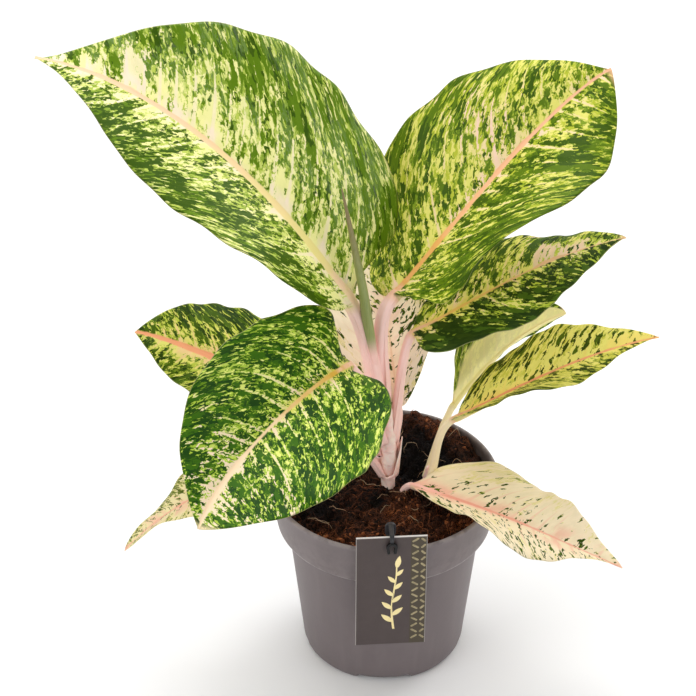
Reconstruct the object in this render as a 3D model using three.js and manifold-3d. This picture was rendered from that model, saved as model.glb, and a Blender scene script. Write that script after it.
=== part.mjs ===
// A chinese evergreen in a 12 cm nursery pot: the pot, the soil, two stems, ten leaves, the rolled new leaf,
// an old sheath, and a label card on its peg. Millimetres, +Z up. The origin is the middle of the pot's
// underside, on the ground. -Y is the front, where the card hangs.
import * as THREE from "three";
import { mergeVertices } from "three/addons/utils/BufferGeometryUtils.js";
import Module from "manifold-3d";

const wasm = await Module();
wasm.setup();

// ---------------------------------------------------------------- driving dimensions

const CLEARANCE = 0.3; // between pieces that rest against each other

const POT = {
  rimRadius: 60, // a 12 cm pot
  height: 105,
  collarHeight: 25,
  collarFootRadius: 56,
  bodyTopRadius: 51,
  bodyFootRadius: 42.6,
  wall: 1.5,
  floorTop: 5.4,
  floorUnderside: 3.8,
  ledge: { from: -0.2, to: 1.6 }, // the step inside the collar's foot, by its height over that foot
  padRadius: 11, // the flat disc under the middle, which rests on the ground
  footInner: 35.5,
  footOuter: 39.5,
  segments: 40,
};
// Wide, low openings with flat tops in the foot ring, which leave four feet.
const FOOT_GAP = { count: 4, halfTop: 12.5, halfGround: 15, rise: 3.4, depth: 14 };
const DRAIN_HOLE = { count: 6, radius: 3.5, onRadius: 24 };

const SOIL = { level: 99, edgeRadius: 55.9, ringStep: 5, lump: 1.1, segments: 40 };
// Where the soil is heaped up or sunk: the middle of each form, its rise and how wide it spreads.
const SOIL_FORMS = [
  { x: 20, y: 44, rise: 4.5, spread: 26 },
  { x: 13, y: 16, rise: -3.5, spread: 10 },
  { x: -35, y: -35, rise: -2, spread: 22 },
];

const LABEL = {
  lean: THREE.MathUtils.degToRad(3), // the card hangs almost upright from the rim
  yaw: THREE.MathUtils.degToRad(4), // it hangs a little to the right of the pot's front
  aside: -1.3,
  aboveRim: 12,
};
const CARD = { width: 36, height: 75, thickness: 0.8 };
const PEG = {
  stakeWidth: 3.2,
  headWidth: 5.2,
  bar: 1.5,
  behind: 8, // from the card's back to the stake
  length: 32,
  clipWidth: 5.8,
  clipHeight: 7,
  clipBelowEdge: 3.4,
  pointLength: 5,
  shoulder: 2, // how far below its round head the stake widens
};

const BLADE = { rows: 12, thickness: 1, tipHalf: 0.5, baseHalf: 1.6, ribShare: 0.2, lobeReach: 0.16 };
const COLUMNS = [0.25, 0.5, 0.75, 1]; // share of the half width, on each side of the midrib

// A stem or stalk is a list of stations [x, y, z, radius].
const MAIN_STEM = [
  [2, 0, 72, 3.2],
  [2, 0, 98, 3.4],
  [2, 0, 114, 4.2],
  [2, 0, 126, 3.8],
  [0, 1, 147, 3.6],
  [-3, 1, 166, 3.2],
];
const SIDE_STEM = [
  [21, 6, 74, 2.4],
  [21, 6, 92, 2.6],
  [23, 6, 108, 2.2],
];
const NEW_LEAF = [
  [-4, 0, 168, 1.6],
  [-6, -2, 184, 2.5],
  [-9, -2, 205, 2.6],
  [-12, -1, 226, 2.4],
  [-17, 3, 252, 1.5],
  [-22, 8, 277, 0.4],
];
// The old sheath is torn off at different heights at its front, its right and its left.
const SHEATH = { x: 2, foot: 108, innerRadius: 4.6, wall: 0.9, flare: 2.2, sides: 20 };
const SHEATH_HEIGHT = { front: 5, right: 23, left: 9 };

// Each leaf: four points of its midrib from the stalk to the tip; then, for the half on the left and on the
// right of the midrib as seen from the stalk, the half width, where it is widest, how full the base is, how
// drawn out the tip is, the fold up from the midrib in degrees, how much it curls down again, and how far
// its base lobe reaches back; roll is the turn about the midrib at base and tip in degrees, wave the height,
// number and two phases of the waved margin; root and stalk give the foot and the radii of its stalk.
const LEAVES = {
  leaf_high_left: {
    rib: [[-18, 2, 214.2], [-59.1, 10, 271.8], [-111.6, 25, 313.4], [-171, 40, 332.1]],
    half: [56.2, 66.1], widest: [0.45, 0.38], base: [0.55, 0.26], tip: [1.09, 1.34],
    fold: [16, 29], curl: [0.17, -0.05], lobe: [0, 0], roll: [10, 8], wave: [5.3, 1.3, -0.06, 0.36],
    root: [-4, 1, 156], stalk: [5.4, 4], rise: [-0.1, 0, 1], bow: [0.35, 0.3],
  },
  leaf_high_right: {
    rib: [[3.9, 12, 210.7], [31.5, 30, 238.1], [71.6, 45, 283.7], [110.8, 55, 317.3]],
    half: [57.4, 58.5], widest: [0.61, 0.56], base: [0.4, 0.38], tip: [1.3, 0.72],
    fold: [32, 10], curl: [0.12, 0.15], lobe: [0.01, 0.05], roll: [30, -29], wave: [10.6, 1.2, 0.78, 0.68],
    root: [-1, 3, 154], stalk: [4.2, 3.3], rise: [0, 0.1, 1], bow: [0.35, 0.3],
  },
  leaf_mid_right: {
    rib: [[14.3, 10, 189.8], [52, 14, 212.2], [83.4, 18, 228.1], [119.8, 20, 240.9]],
    half: [29.9, 30.5], widest: [0.38, 0.61], base: [0.58, 0.26], tip: [0.7, 1.44],
    fold: [11, 9], curl: [0.2, 0.2], lobe: [0, 0], roll: [-21, 2], wave: [2.6, 2.1, 0.24, 0.81],
    root: [4, 2, 128], stalk: [2.8, 2.2], rise: [0.15, 0.08, 1], bow: [0.3, 0.12],
  },
  leaf_side_back: {
    rib: [[35.7, 22, 134.7], [51.8, 35, 149], [71.5, 44, 163.9], [94.7, 49, 174.8]],
    half: [9, 29], widest: [0.38, 0.38], base: [0.5, 0.93], tip: [0.48, 0.59],
    fold: [48, -4], curl: [0.1, 0.11], lobe: [0, 0], roll: [98, 102], wave: [2.1, 2, 0.14, 0.49],
    root: [22, 8, 99], stalk: [2.4, 1.8], rise: [0.3, 0.05, 1], bow: [0.3, 0.2],
  },
  leaf_side_front: {
    rib: [[36.2, 4, 140.2], [66.6, 6, 157.2], [100.3, 8, 174.3], [138.5, 8, 188.5]],
    half: [29.4, 26.5], widest: [0.37, 0.57], base: [0.61, 0.74], tip: [0.92, 1.74],
    fold: [23, 21], curl: [0.05, 0.1], lobe: [0, 0.05], roll: [24, -16], wave: [1.8, 2, 1.03, 0.47],
    root: [24, 4, 101], stalk: [2.2, 1.9], rise: [0.3, 0, 1], bow: [0.3, 0.3],
  },
  leaf_low_right: {
    rib: [[14.4, -7, 104.8], [57.6, -33, 106.4], [83.9, -45, 101.8], [120.8, -52, 86.8]],
    half: [27.9, 28], widest: [0.28, 0.47], base: [0.32, 0.78], tip: [0.74, 1.54],
    fold: [25, 20], curl: [0.03, 0.1], lobe: [0, 0], roll: [10, -12], wave: [4.2, 1.6, 0.04, 0.72],
    root: [8, -3, 88], stalk: [2, 1.7], rise: [0, 0, 1], bow: [0.5, 0.2],
  },
  leaf_front: {
    rib: [[-18.7, -20, 191], [-42.6, -62, 200.9], [-69.9, -103, 195.5], [-88.5, -139, 183.4]],
    half: [51.3, 46.5], widest: [0.48, 0.51], base: [0.54, 0.26], tip: [0.62, 1],
    fold: [23, 26], curl: [-0.01, 0], lobe: [0.09, 0.02], roll: [40, 24], wave: [3.2, 2, 0.19, 0.28],
    root: [-3, -4, 130], stalk: [3, 2.6], rise: [-0.15, -0.2, 1], bow: [0.5, 0.1],
  },
  leaf_mid_left: {
    rib: [[-40.9, 4, 155.2], [-71.5, 8, 167.2], [-102, 10, 181.1], [-127, 10, 190.3]],
    half: [29.3, 36.2], widest: [0.42, 0.43], base: [0.5, 0.5], tip: [0.95, 1.03],
    fold: [9, 14], curl: [0.22, 0.12], lobe: [0.03, 0.03], roll: [11, 20], wave: [1.3, 2.2, 0.13, 0.49],
    root: [-2, 1, 120], stalk: [2.4, 1.9], rise: [-0.4, 0, 1], bow: [0.4, 0.35],
  },
  leaf_low_left: {
    rib: [[-28.4, -10, 137], [-65.3, -20, 125.2], [-100.4, -32, 114.4], [-133.6, -40, 88.2]],
    half: [15.7, 18.1], widest: [0.4, 0.39], base: [0.5, 0.5], tip: [0.81, 0.62],
    fold: [17, 17], curl: [0.17, 0.14], lobe: [0.03, 0.03], roll: [0, -3], wave: [3.7, 2.3, 0.3, 0.86],
    root: [-1, -2, 108], stalk: [2.2, 1.6], rise: [-0.5, -0.1, 1], bow: [0.5, 0.3],
  },
  leaf_back: {
    rib: [[7, 9, 143], [3, 22, 171], [-1, 40, 194], [-6, 60, 216]],
    half: [23, 23], widest: [0.5, 0.5], base: [0.75, 0.75], tip: [0.8, 0.8],
    fold: [12, 25], curl: [0.15, 0.05], lobe: [0.02, 0.02], roll: [0, 0], wave: [1.5, 2, 0.2, 0.5],
    root: [3, 4, 116], stalk: [2.6, 2], rise: [0.1, 0.15, 1], bow: [0.35, 0.3],
  },
};

// ---------------------------------------------------------------- solids

function solidOf(geometry) {
  const bare = geometry.clone();
  bare.deleteAttribute("normal");
  bare.deleteAttribute("uv");
  const merged = mergeVertices(bare, 1e-4);
  const vertProperties = new Float32Array(merged.attributes.position.array);
  const triVerts = new Uint32Array(merged.index.array);
  return new wasm.Manifold(new wasm.Mesh({ numProp: 3, vertProperties, triVerts }));
}

function geometryOf(solid) {
  const mesh = solid.getMesh();
  const positions = [];
  for (let i = 0; i < mesh.numVert; i++) {
    positions.push(...mesh.vertProperties.subarray(i * mesh.numProp, i * mesh.numProp + 3));
  }
  const geometry = new THREE.BufferGeometry();
  geometry.setAttribute("position", new THREE.Float32BufferAttribute(positions, 3));
  geometry.setIndex(Array.from(mesh.triVerts));
  geometry.computeVertexNormals();
  return geometry;
}

// The biggest body of a solid: a cut can leave a loose scrap, which is dropped.
function biggestBody(solid) {
  return solid.decompose().sort((a, b) => b.volume() - a.volume())[0];
}

// A copy of a standard geometry, set in place by a position and a rotation.
function placed(geometry, position, rotation = [0, 0, 0]) {
  const matrix = new THREE.Matrix4().makeRotationFromEuler(new THREE.Euler(...rotation, "ZXY"));
  matrix.setPosition(...position);
  return geometry.clone().applyMatrix4(matrix);
}

// A closed cylinder whose rings are moved by the rule ring(share of the length, angle) => [x, y, z].
function warpedCylinder(sides, steps, ring) {
  const geometry = new THREE.CylinderGeometry(1, 1, 1, sides, steps);
  const position = geometry.attributes.position;
  for (let i = 0; i < position.count; i++) {
    const share = position.getY(i) + 0.5;
    const out = Math.hypot(position.getX(i), position.getZ(i));
    const angle = Math.atan2(position.getZ(i), position.getX(i));
    position.setXYZ(i, ...ring(share, angle, out));
  }
  return geometry;
}

// ---------------------------------------------------------------- stems and stalks

const UP = new THREE.Vector3(0, 0, 1);

// A round stem along stations [x, y, z, radius], grown outwards by a clearance.
function stemSolid(stations, grow = 0, sides = 10, steps = 12) {
  const path = new THREE.CatmullRomCurve3(stations.map(([x, y, z]) => new THREE.Vector3(x, y, z)));
  const across = new THREE.Vector3(1, 0, 0);
  const radii = stations.map((station) => station[3]);
  const radiusAt = (share) => {
    const place = share * (radii.length - 1);
    const low = Math.min(Math.floor(place), radii.length - 2);
    return THREE.MathUtils.lerp(radii[low], radii[low + 1], place - low);
  };
  return solidOf(
    warpedCylinder(sides, steps, (share, angle, out) => {
      const along = path.getTangent(share);
      const second = new THREE.Vector3().crossVectors(along, across).normalize();
      const first = new THREE.Vector3().crossVectors(second, along);
      const radius = out * (radiusAt(share) + grow);
      return path
        .getPoint(share)
        .addScaledVector(first, radius * Math.cos(angle))
        .addScaledVector(second, -radius * Math.sin(angle))
        .toArray();
    }),
  );
}

// ---------------------------------------------------------------- leaves

// The cubic through four points, reached at shares 0, 1/3, 2/3 and 1.
function throughFour(points, share) {
  const [a, b, c, d] = [share, share - 1 / 3, share - 2 / 3, share - 1];
  const weights = [-4.5 * b * c * d, 13.5 * a * c * d, -13.5 * a * b * d, 4.5 * a * b * c];
  const sum = new THREE.Vector3();
  points.forEach((point, i) => sum.addScaledVector(new THREE.Vector3(...point), weights[i]));
  return sum;
}

// Half width of the blade as a share of its greatest, along the midrib.
function outline(share, widest, base, tip) {
  if (share < widest) return Math.sin(((Math.PI / 2) * share) / widest) ** base;
  return Math.max(Math.cos(((Math.PI / 2) * (share - widest)) / (1 - widest)), 0) ** tip;
}

function halfWidth(leaf, share, side) {
  const full = leaf.half[side] * outline(share, leaf.widest[side], leaf.base[side], leaf.tip[side]);
  return Math.max(full, THREE.MathUtils.lerp(BLADE.baseHalf, BLADE.tipHalf, share));
}

// The frame of the blade at a share of the midrib: a point, the way across and the way up from the blade.
function bladeFrame(leaf, share) {
  const inside = THREE.MathUtils.clamp(share, 0, 1);
  const step = 0.001;
  const before = throughFour(leaf.rib, Math.max(inside - step, 0));
  const after = throughFour(leaf.rib, Math.min(inside + step, 1));
  const along = after.sub(before).normalize();
  const level = new THREE.Vector3().crossVectors(along, UP).normalize();
  const steep = new THREE.Vector3().crossVectors(level, along);
  const roll = THREE.MathUtils.degToRad(THREE.MathUtils.lerp(leaf.roll[0], leaf.roll[1], share));
  const across = level.clone().multiplyScalar(Math.cos(roll)).addScaledVector(steep, Math.sin(roll));
  const up = steep.clone().multiplyScalar(Math.cos(roll)).addScaledVector(level, -Math.sin(roll));
  const point = throughFour(leaf.rib, inside);
  if (share < 0) {
    const length = throughFour(leaf.rib, 1).distanceTo(throughFour(leaf.rib, 0));
    point.addScaledVector(along, share * length);
  }
  return { point, across, up };
}

// A point of the blade: share runs along the midrib, u across it from -1 to 1.
function bladePoint(leaf, share, u, lift) {
  const side = u < 0 ? 0 : 1;
  const out = Math.abs(u);
  const lobe = leaf.lobe[side] * out ** 1.5 * Math.exp(-((share / BLADE.lobeReach) ** 2));
  const { point, across } = bladeFrame(leaf, share - lobe);
  const { up } = bladeFrame(leaf, share);
  const width = halfWidth(leaf, share, side);
  const fold = THREE.MathUtils.degToRad(leaf.fold[side]);
  const [height, count, ...phase] = leaf.wave;
  const fade = Math.min(1, 4 * share, 4 * (1 - share));
  const wave = height * Math.sin(2 * Math.PI * (count * share + phase[side])) * out ** 2 * fade;
  const rise = width * (Math.sin(fold) * out - leaf.curl[side] * out ** 2) + wave;
  const reach = width * u * Math.cos(fold) * (1 - 0.25 * leaf.curl[side] * out);
  return point.addScaledVector(across, reach).addScaledVector(up, rise + lift);
}

// The midrib is a ridge under the blade, fading to the tip.
const ribHalf = (leaf, share) => leaf.stalk[1] * (0.25 + 0.65 * (1 - share));
const ribDepth = (leaf, share) => leaf.stalk[1] * 0.9 * (1 - share) ** 1.5 + 0.3;

// The blade: an upper and a lower skin on the same grid, with the same diagonals, closed round the margin.
function bladeSolid(leaf) {
  const positions = [];
  const columnCount = 2 * COLUMNS.length + 2;
  for (const upper of [true, false]) {
    for (let row = 0; row <= BLADE.rows; row++) {
      const share = row / BLADE.rows;
      const inner = [0, 1].map((side) =>
        Math.min(ribHalf(leaf, share) / halfWidth(leaf, share, side), BLADE.ribShare),
      );
      const places = [...COLUMNS.map((c) => -c).reverse(), -inner[0], inner[1], ...COLUMNS];
      for (const u of places) {
        const onRib = Math.abs(u) <= BLADE.ribShare;
        const lower = -BLADE.thickness / 2 - (onRib ? ribDepth(leaf, share) : 0);
        const lift = upper ? BLADE.thickness / 2 : lower;
        positions.push(...bladePoint(leaf, share, u, lift).toArray());
      }
    }
  }
  const index = [];
  const vertex = (skin, row, column) => (skin * (BLADE.rows + 1) + row) * columnCount + column;
  for (let row = 0; row < BLADE.rows; row++) {
    for (let column = 0; column < columnCount - 1; column++) {
      const quad = (skin) => [
        vertex(skin, row, column),
        vertex(skin, row, column + 1),
        vertex(skin, row + 1, column + 1),
        vertex(skin, row + 1, column),
      ];
      const [a, b, c, d] = quad(0);
      index.push(a, b, c, a, c, d);
      const [e, f, g, h] = quad(1);
      index.push(e, g, f, e, h, g);
    }
  }
  // the strip round the margin joins the two skins
  const margin = [];
  const last = columnCount - 1;
  for (let column = 0; column < last; column++) margin.push([0, column]);
  for (let row = 0; row < BLADE.rows; row++) margin.push([row, last]);
  for (let column = last; column > 0; column--) margin.push([BLADE.rows, column]);
  for (let row = BLADE.rows; row > 0; row--) margin.push([row, 0]);
  margin.forEach((here, i) => {
    const next = margin[(i + 1) % margin.length];
    const [a, b] = [vertex(0, ...here), vertex(0, ...next)];
    const [c, d] = [vertex(1, ...here), vertex(1, ...next)];
    index.push(a, c, b, b, c, d);
  });
  const geometry = new THREE.BufferGeometry();
  geometry.setAttribute("position", new THREE.Float32BufferAttribute(positions, 3));
  geometry.setIndex(index);
  return solidOf(geometry);
}

// The stalk: an oval rod from its root to the blade, where it runs on under the midrib.
// Its foot is a broad sheath that clasps the stem.
function stalkSolid(leaf, grow = 0) {
  const root = new THREE.Vector3(...leaf.root);
  const foot = throughFour(leaf.rib, 0);
  const along = throughFour(leaf.rib, 0.001).sub(foot).normalize();
  const length = root.distanceTo(foot);
  const rise = new THREE.Vector3(...leaf.rise).normalize();
  const path = new THREE.CubicBezierCurve3(
    root,
    root.clone().addScaledVector(rise, length * leaf.bow[0]),
    foot.clone().addScaledVector(along, -length * leaf.bow[1]),
    foot,
  );
  const azimuth = throughFour(leaf.rib, 0.3).sub(foot).setZ(0).normalize();
  const level = new THREE.Vector3().crossVectors(azimuth, UP);
  const { across, up } = bladeFrame(leaf, 0);
  const join = 0.75; // share of the rod that is stalk; the rest lies under the midrib
  const underRib = 0.09; // how far along the blade it runs
  const [thick, thin] = leaf.stalk;
  const ring = (share, angle, out) => {
    const onStalk = Math.min(share / join, 1);
    const onRib = Math.max((share - join) / (1 - join), 0);
    const centre = onRib > 0 ? throughFour(leaf.rib, onRib * underRib) : path.getPoint(onStalk);
    const way = onRib > 0 ? along : path.getTangent(onStalk);
    const side = level.clone().lerp(across, onStalk ** 3).normalize();
    const normal = new THREE.Vector3().crossVectors(side, way).normalize();
    centre.addScaledVector(up, -onRib * 0.6 * thin);
    const radius = THREE.MathUtils.lerp(thick, thin, onStalk) * (1 - 0.35 * onRib) + grow;
    const sheath = 1 + 0.5 * Math.max(0, 1 - 1.6 * onStalk);
    return centre
      .addScaledVector(side, out * radius * sheath * Math.cos(angle))
      .addScaledVector(normal, out * radius * 0.9 * Math.sin(angle))
      .toArray();
  };
  return solidOf(warpedCylinder(8, 12, ring));
}

// ---------------------------------------------------------------- pot and soil

// Inner radius of the pot at a height.
function potInside(z) {
  const collarFoot = POT.height - POT.collarHeight;
  if (z > collarFoot) {
    const share = (z - collarFoot) / POT.collarHeight;
    return THREE.MathUtils.lerp(POT.collarFootRadius, POT.rimRadius, share) - POT.wall;
  }
  const share = z / collarFoot;
  return THREE.MathUtils.lerp(POT.bodyFootRadius, POT.bodyTopRadius, share) - POT.wall;
}

// A lathe turned about Z: three.js turns about Y, so the profile [radius, height] is stood up afterwards.
function turned(profile, segments) {
  const points = profile.map(([radius, height]) => new THREE.Vector2(radius, height));
  return new THREE.LatheGeometry(points, segments).rotateX(Math.PI / 2);
}

// What is cut from the foot ring: a bar with slanted ends that runs outwards, towards -Y.
function footGap() {
  const { halfTop, halfGround, rise, depth } = FOOT_GAP;
  const outline = [[-halfGround, -1], [halfGround, -1], [halfGround, 0], [halfTop, rise], [-halfTop, rise]];
  const shape = new THREE.Shape(outline.map(([x, z]) => new THREE.Vector2(x, z)));
  shape.lineTo(-halfGround, 0);
  return new THREE.ExtrudeGeometry(shape, { depth, bevelEnabled: false }).rotateX(Math.PI / 2);
}

function potSolid() {
  const p = POT;
  const collarFoot = p.height - p.collarHeight;
  const inner = (z) => [potInside(z), z];
  const profile = [
    [0, 0],
    [p.padRadius, 0],
    [p.padRadius + 1.5, p.floorUnderside],
    [p.footInner - 1.2, p.floorUnderside],
    [p.footInner, 0],
    [p.footOuter, 0],
    [p.footOuter + 1.9, 0.7],
    [p.footOuter + 3, 2.4],
    [p.bodyFootRadius + 0.5, 5],
    [p.bodyTopRadius, collarFoot - 0.8],
    [p.collarFootRadius, collarFoot],
    [p.rimRadius - 0.4, p.height - 3],
    [p.rimRadius, p.height - 1.6],
    [p.rimRadius - 0.3, p.height - 0.4],
    [p.rimRadius - 1, p.height],
    [p.rimRadius - 1.8, p.height - 0.3],
    inner(p.height - 4),
    inner(collarFoot + p.ledge.to),
    inner(collarFoot + p.ledge.from),
    inner(p.floorTop + 3),
    [p.bodyFootRadius - 4, p.floorTop],
    [0, p.floorTop],
  ];
  let pot = solidOf(turned(profile, p.segments));
  const gap = footGap();
  for (let i = 0; i < FOOT_GAP.count; i++) {
    const turn = (i / FOOT_GAP.count) * 2 * Math.PI;
    const near = p.footInner - 3;
    const place = [near * Math.sin(turn), -near * Math.cos(turn), 0];
    pot = pot.subtract(solidOf(placed(gap, place, [0, 0, turn])));
  }
  const hole = new THREE.CylinderGeometry(DRAIN_HOLE.radius, DRAIN_HOLE.radius, 2 * p.floorTop, 16);
  for (let i = 0; i < DRAIN_HOLE.count; i++) {
    const turn = (i / DRAIN_HOLE.count) * 2 * Math.PI;
    const place = [DRAIN_HOLE.onRadius * Math.cos(turn), DRAIN_HOLE.onRadius * Math.sin(turn), p.floorTop];
    pot = pot.subtract(solidOf(placed(hole, place, [Math.PI / 2, 0, 0])));
  }
  return pot;
}

// Height of the soil: level, with its forms and with lumps.
function soilHeight(x, y) {
  const forms = SOIL_FORMS.map((form) => {
    const away = Math.hypot(x - form.x, y - form.y) / form.spread;
    return form.rise * Math.exp(-(away ** 2));
  });
  const lumps = Math.sin(0.42 * x + 1) * Math.cos(0.37 * y) + 0.6 * Math.sin(0.8 * x - 0.6 * y);
  return forms.reduce((sum, rise) => sum + rise, SOIL.level + SOIL.lump * lumps);
}

function soilSolid(holes) {
  const rings = [];
  for (let radius = SOIL.edgeRadius - 4; radius > 2; radius -= SOIL.ringStep) {
    rings.push([radius, SOIL.level]);
  }
  const collarFoot = POT.height - POT.collarHeight;
  const inside = (z) => [potInside(z) - CLEARANCE, z];
  const profile = [
    [0, POT.floorTop + CLEARANCE],
    [POT.bodyFootRadius - 4.4, POT.floorTop + CLEARANCE],
    inside(POT.floorTop + 4),
    inside(collarFoot + POT.ledge.from),
    inside(collarFoot + POT.ledge.to + CLEARANCE),
    [SOIL.edgeRadius, SOIL.level],
    ...rings,
    [0, SOIL.level],
  ];
  const geometry = turned(profile, SOIL.segments);
  const position = geometry.attributes.position;
  for (let i = 0; i < position.count; i++) {
    if (position.getZ(i) < SOIL.level - 0.01) continue;
    position.setZ(i, soilHeight(position.getX(i), position.getY(i)));
  }
  return holes.reduce((soil, hole) => soil.subtract(hole), solidOf(geometry));
}

// The remains of an old leaf's sheath: a thin collar round the stem, torn to a point at the right.
function sheathSolid(cuts) {
  const hub = 10; // the lathe's ring is turned at this radius, then every point is set in place
  const section = [[0, 0], [1, 0], [1, 0.5], [1, 1], [0, 1], [0, 0.5], [0, 0]];
  const points = section.map(([across, share]) => new THREE.Vector2(hub + across, share));
  const geometry = new THREE.LatheGeometry(points, SHEATH.sides);
  const position = geometry.attributes.position;
  for (let i = 0; i < position.count; i++) {
    const [x, share, z] = [position.getX(i), position.getY(i), position.getZ(i)];
    const across = Math.hypot(x, z) - hub;
    const right = x / (hub + across);
    const { front: low, right: high, left: middling } = SHEATH_HEIGHT;
    const torn = low + (high - low) * Math.max(right, 0) ** 4 + (middling - low) * Math.max(-right, 0) ** 2;
    const radius = SHEATH.innerRadius + SHEATH.flare * share * right ** 2 + SHEATH.wall * across;
    const front = (-z / (hub + across)) * radius;
    position.setXYZ(i, SHEATH.x + right * radius, front, SHEATH.foot + share * torn);
  }
  return biggestBody(cuts.reduce((sheath, cut) => sheath.subtract(cut), solidOf(geometry)));
}

// ---------------------------------------------------------------- label card and peg

// The label's own frame: its origin is on the rim's edge, behind the card, and +Z runs up the card.
const label = new THREE.Group();
label.rotation.set(LABEL.lean, 0, LABEL.yaw, "ZXY");
label.position.set(0, -POT.rimRadius - CLEARANCE, POT.height - 1.6).applyAxisAngle(UP, LABEL.yaw);
label.updateMatrix();

function cardGeometry() {
  const card = new THREE.BoxGeometry(CARD.width, CARD.thickness, CARD.height);
  return card.translate(LABEL.aside, -CARD.thickness / 2, LABEL.aboveRim - CARD.height / 2);
}

// A flat outline [x, z] made a plate of the peg's bar thickness, its front face at y.
function plate(shape, y) {
  const settings = { depth: PEG.bar, bevelEnabled: false, curveSegments: 6 };
  const lying = new THREE.ExtrudeGeometry(shape, settings);
  return solidOf(lying.rotateX(Math.PI / 2).translate(LABEL.aside, y + PEG.bar, 0));
}

// The stake: a pointed blade in the soil with a round head.
function stakePlate(grow) {
  const half = PEG.stakeWidth / 2 + grow;
  const head = PEG.headWidth / 2;
  const top = LABEL.aboveRim + CLEARANCE + PEG.bar - head;
  const foot = top - PEG.length;
  const shape = new THREE.Shape();
  shape.moveTo(0, foot - grow);
  shape.lineTo(half, foot + PEG.pointLength);
  shape.lineTo(half, top - head - PEG.shoulder);
  shape.lineTo(head, top);
  shape.absarc(0, top, head, 0, Math.PI, false);
  shape.lineTo(-half, top - head - PEG.shoulder);
  shape.lineTo(-half, foot + PEG.pointLength);
  shape.closePath();
  return plate(shape, PEG.behind);
}

// The clip in front of the card: an arch on two short legs.
function clipPlate() {
  const outer = PEG.clipWidth / 2;
  const inner = outer - PEG.bar;
  const crown = LABEL.aboveRim - PEG.clipBelowEdge - outer;
  const foot = crown + outer - PEG.clipHeight;
  const shape = new THREE.Shape();
  shape.moveTo(outer, foot);
  shape.lineTo(outer, crown);
  shape.absarc(0, crown, outer, 0, Math.PI, false);
  shape.lineTo(-outer, foot);
  shape.lineTo(-inner, foot);
  shape.lineTo(-inner, crown);
  shape.absarc(0, crown, inner, Math.PI, 0, true);
  shape.lineTo(inner, foot);
  shape.closePath();
  return plate(shape, -CARD.thickness - CLEARANCE - PEG.bar);
}

// The peg: stake, a bridge over the card's top edge, a neck down its front, and the clip.
function pegSolid() {
  const width = PEG.stakeWidth - 0.6;
  const front = -CARD.thickness - CLEARANCE - PEG.bar;
  const back = PEG.behind + PEG.bar;
  const over = LABEL.aboveRim + CLEARANCE;
  const bridge = new THREE.BoxGeometry(width, back - front, PEG.bar);
  bridge.translate(LABEL.aside, (front + back) / 2, over + PEG.bar / 2);
  const drop = PEG.clipBelowEdge + PEG.bar;
  const neck = new THREE.BoxGeometry(width, PEG.bar, drop + 1);
  neck.translate(LABEL.aside, front + PEG.bar / 2, over + 1 - (drop + 1) / 2);
  return stakePlate(0).add(solidOf(bridge)).add(solidOf(neck)).add(clipPlate());
}

// ---------------------------------------------------------------- colours

const COLOURS = {
  pot: [0x736967, 0.6],
  soil: [0x2e1d14, 0.95],
  stem: [0xe3c3b4, 0.45],
  leaf: [0x5f8a2e, 0.4],
  pale_leaf: [0xdccf9e, 0.45],
  new_leaf: [0x7c8a4c, 0.45],
  sheath: [0xd9b49a, 0.6],
  card: [0x585050, 0.4],
  peg: [0x17191c, 0.35],
};

function material(kind) {
  const [color, roughness] = COLOURS[kind];
  return new THREE.MeshStandardMaterial({ color, roughness, metalness: 0 });
}

// ---------------------------------------------------------------- assembly

const plant = new THREE.Group();

function addPiece(name, geometry, kind, parent = plant) {
  const piece = new THREE.Mesh(geometry, material(kind));
  piece.name = name;
  parent.add(piece);
  return piece;
}

addPiece("pot", geometryOf(potSolid()), "pot");

const PALE = ["leaf_low_right", "leaf_low_left", "leaf_back"];
const stemClearance = [MAIN_STEM, SIDE_STEM, NEW_LEAF].map((stations) => stemSolid(stations, CLEARANCE));
const clasped = [...stemClearance];

addPiece("main_stem", geometryOf(stemSolid(MAIN_STEM)), "stem");
addPiece("side_stem", geometryOf(stemSolid(SIDE_STEM)), "stem");
addPiece("new_leaf", geometryOf(biggestBody(stemSolid(NEW_LEAF).subtract(stemClearance[0]))), "new_leaf");

// Each leaf clasps what grew before it: the stems, the new leaf and the stalks of the leaves above.
for (const [name, leaf] of Object.entries(LEAVES)) {
  const whole = bladeSolid(leaf).add(stalkSolid(leaf));
  const fitted = clasped.reduce((solid, inner) => solid.subtract(inner), whole);
  addPiece(name, geometryOf(biggestBody(fitted)), PALE.includes(name) ? "pale_leaf" : "leaf");
  clasped.push(stalkSolid(leaf, CLEARANCE));
}
addPiece("old_sheath", geometryOf(sheathSolid(clasped)), "sheath");

addPiece("label_card", cardGeometry(), "card", label);
addPiece("label_peg", geometryOf(pegSolid()), "peg", label);
plant.add(label);
const stakeHole = solidOf(geometryOf(stakePlate(CLEARANCE)).applyMatrix4(label.matrix));

addPiece("soil", geometryOf(soilSolid([...clasped, stakeHole])), "soil");

export default plant;
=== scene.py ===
# %% [markdown]
# # A chinese evergreen in its pot
#
# The plant is a young chinese evergreen: ten broad leaves on fleshy stalks, one leaf still rolled up, two
# short stems, dark compost, a moulded nursery pot, and a label card that hangs on the rim from a peg.
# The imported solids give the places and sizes. Every piece here is a surface worked out with numpy, laid over
# its solid, and given a finish made of shader nodes.

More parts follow.
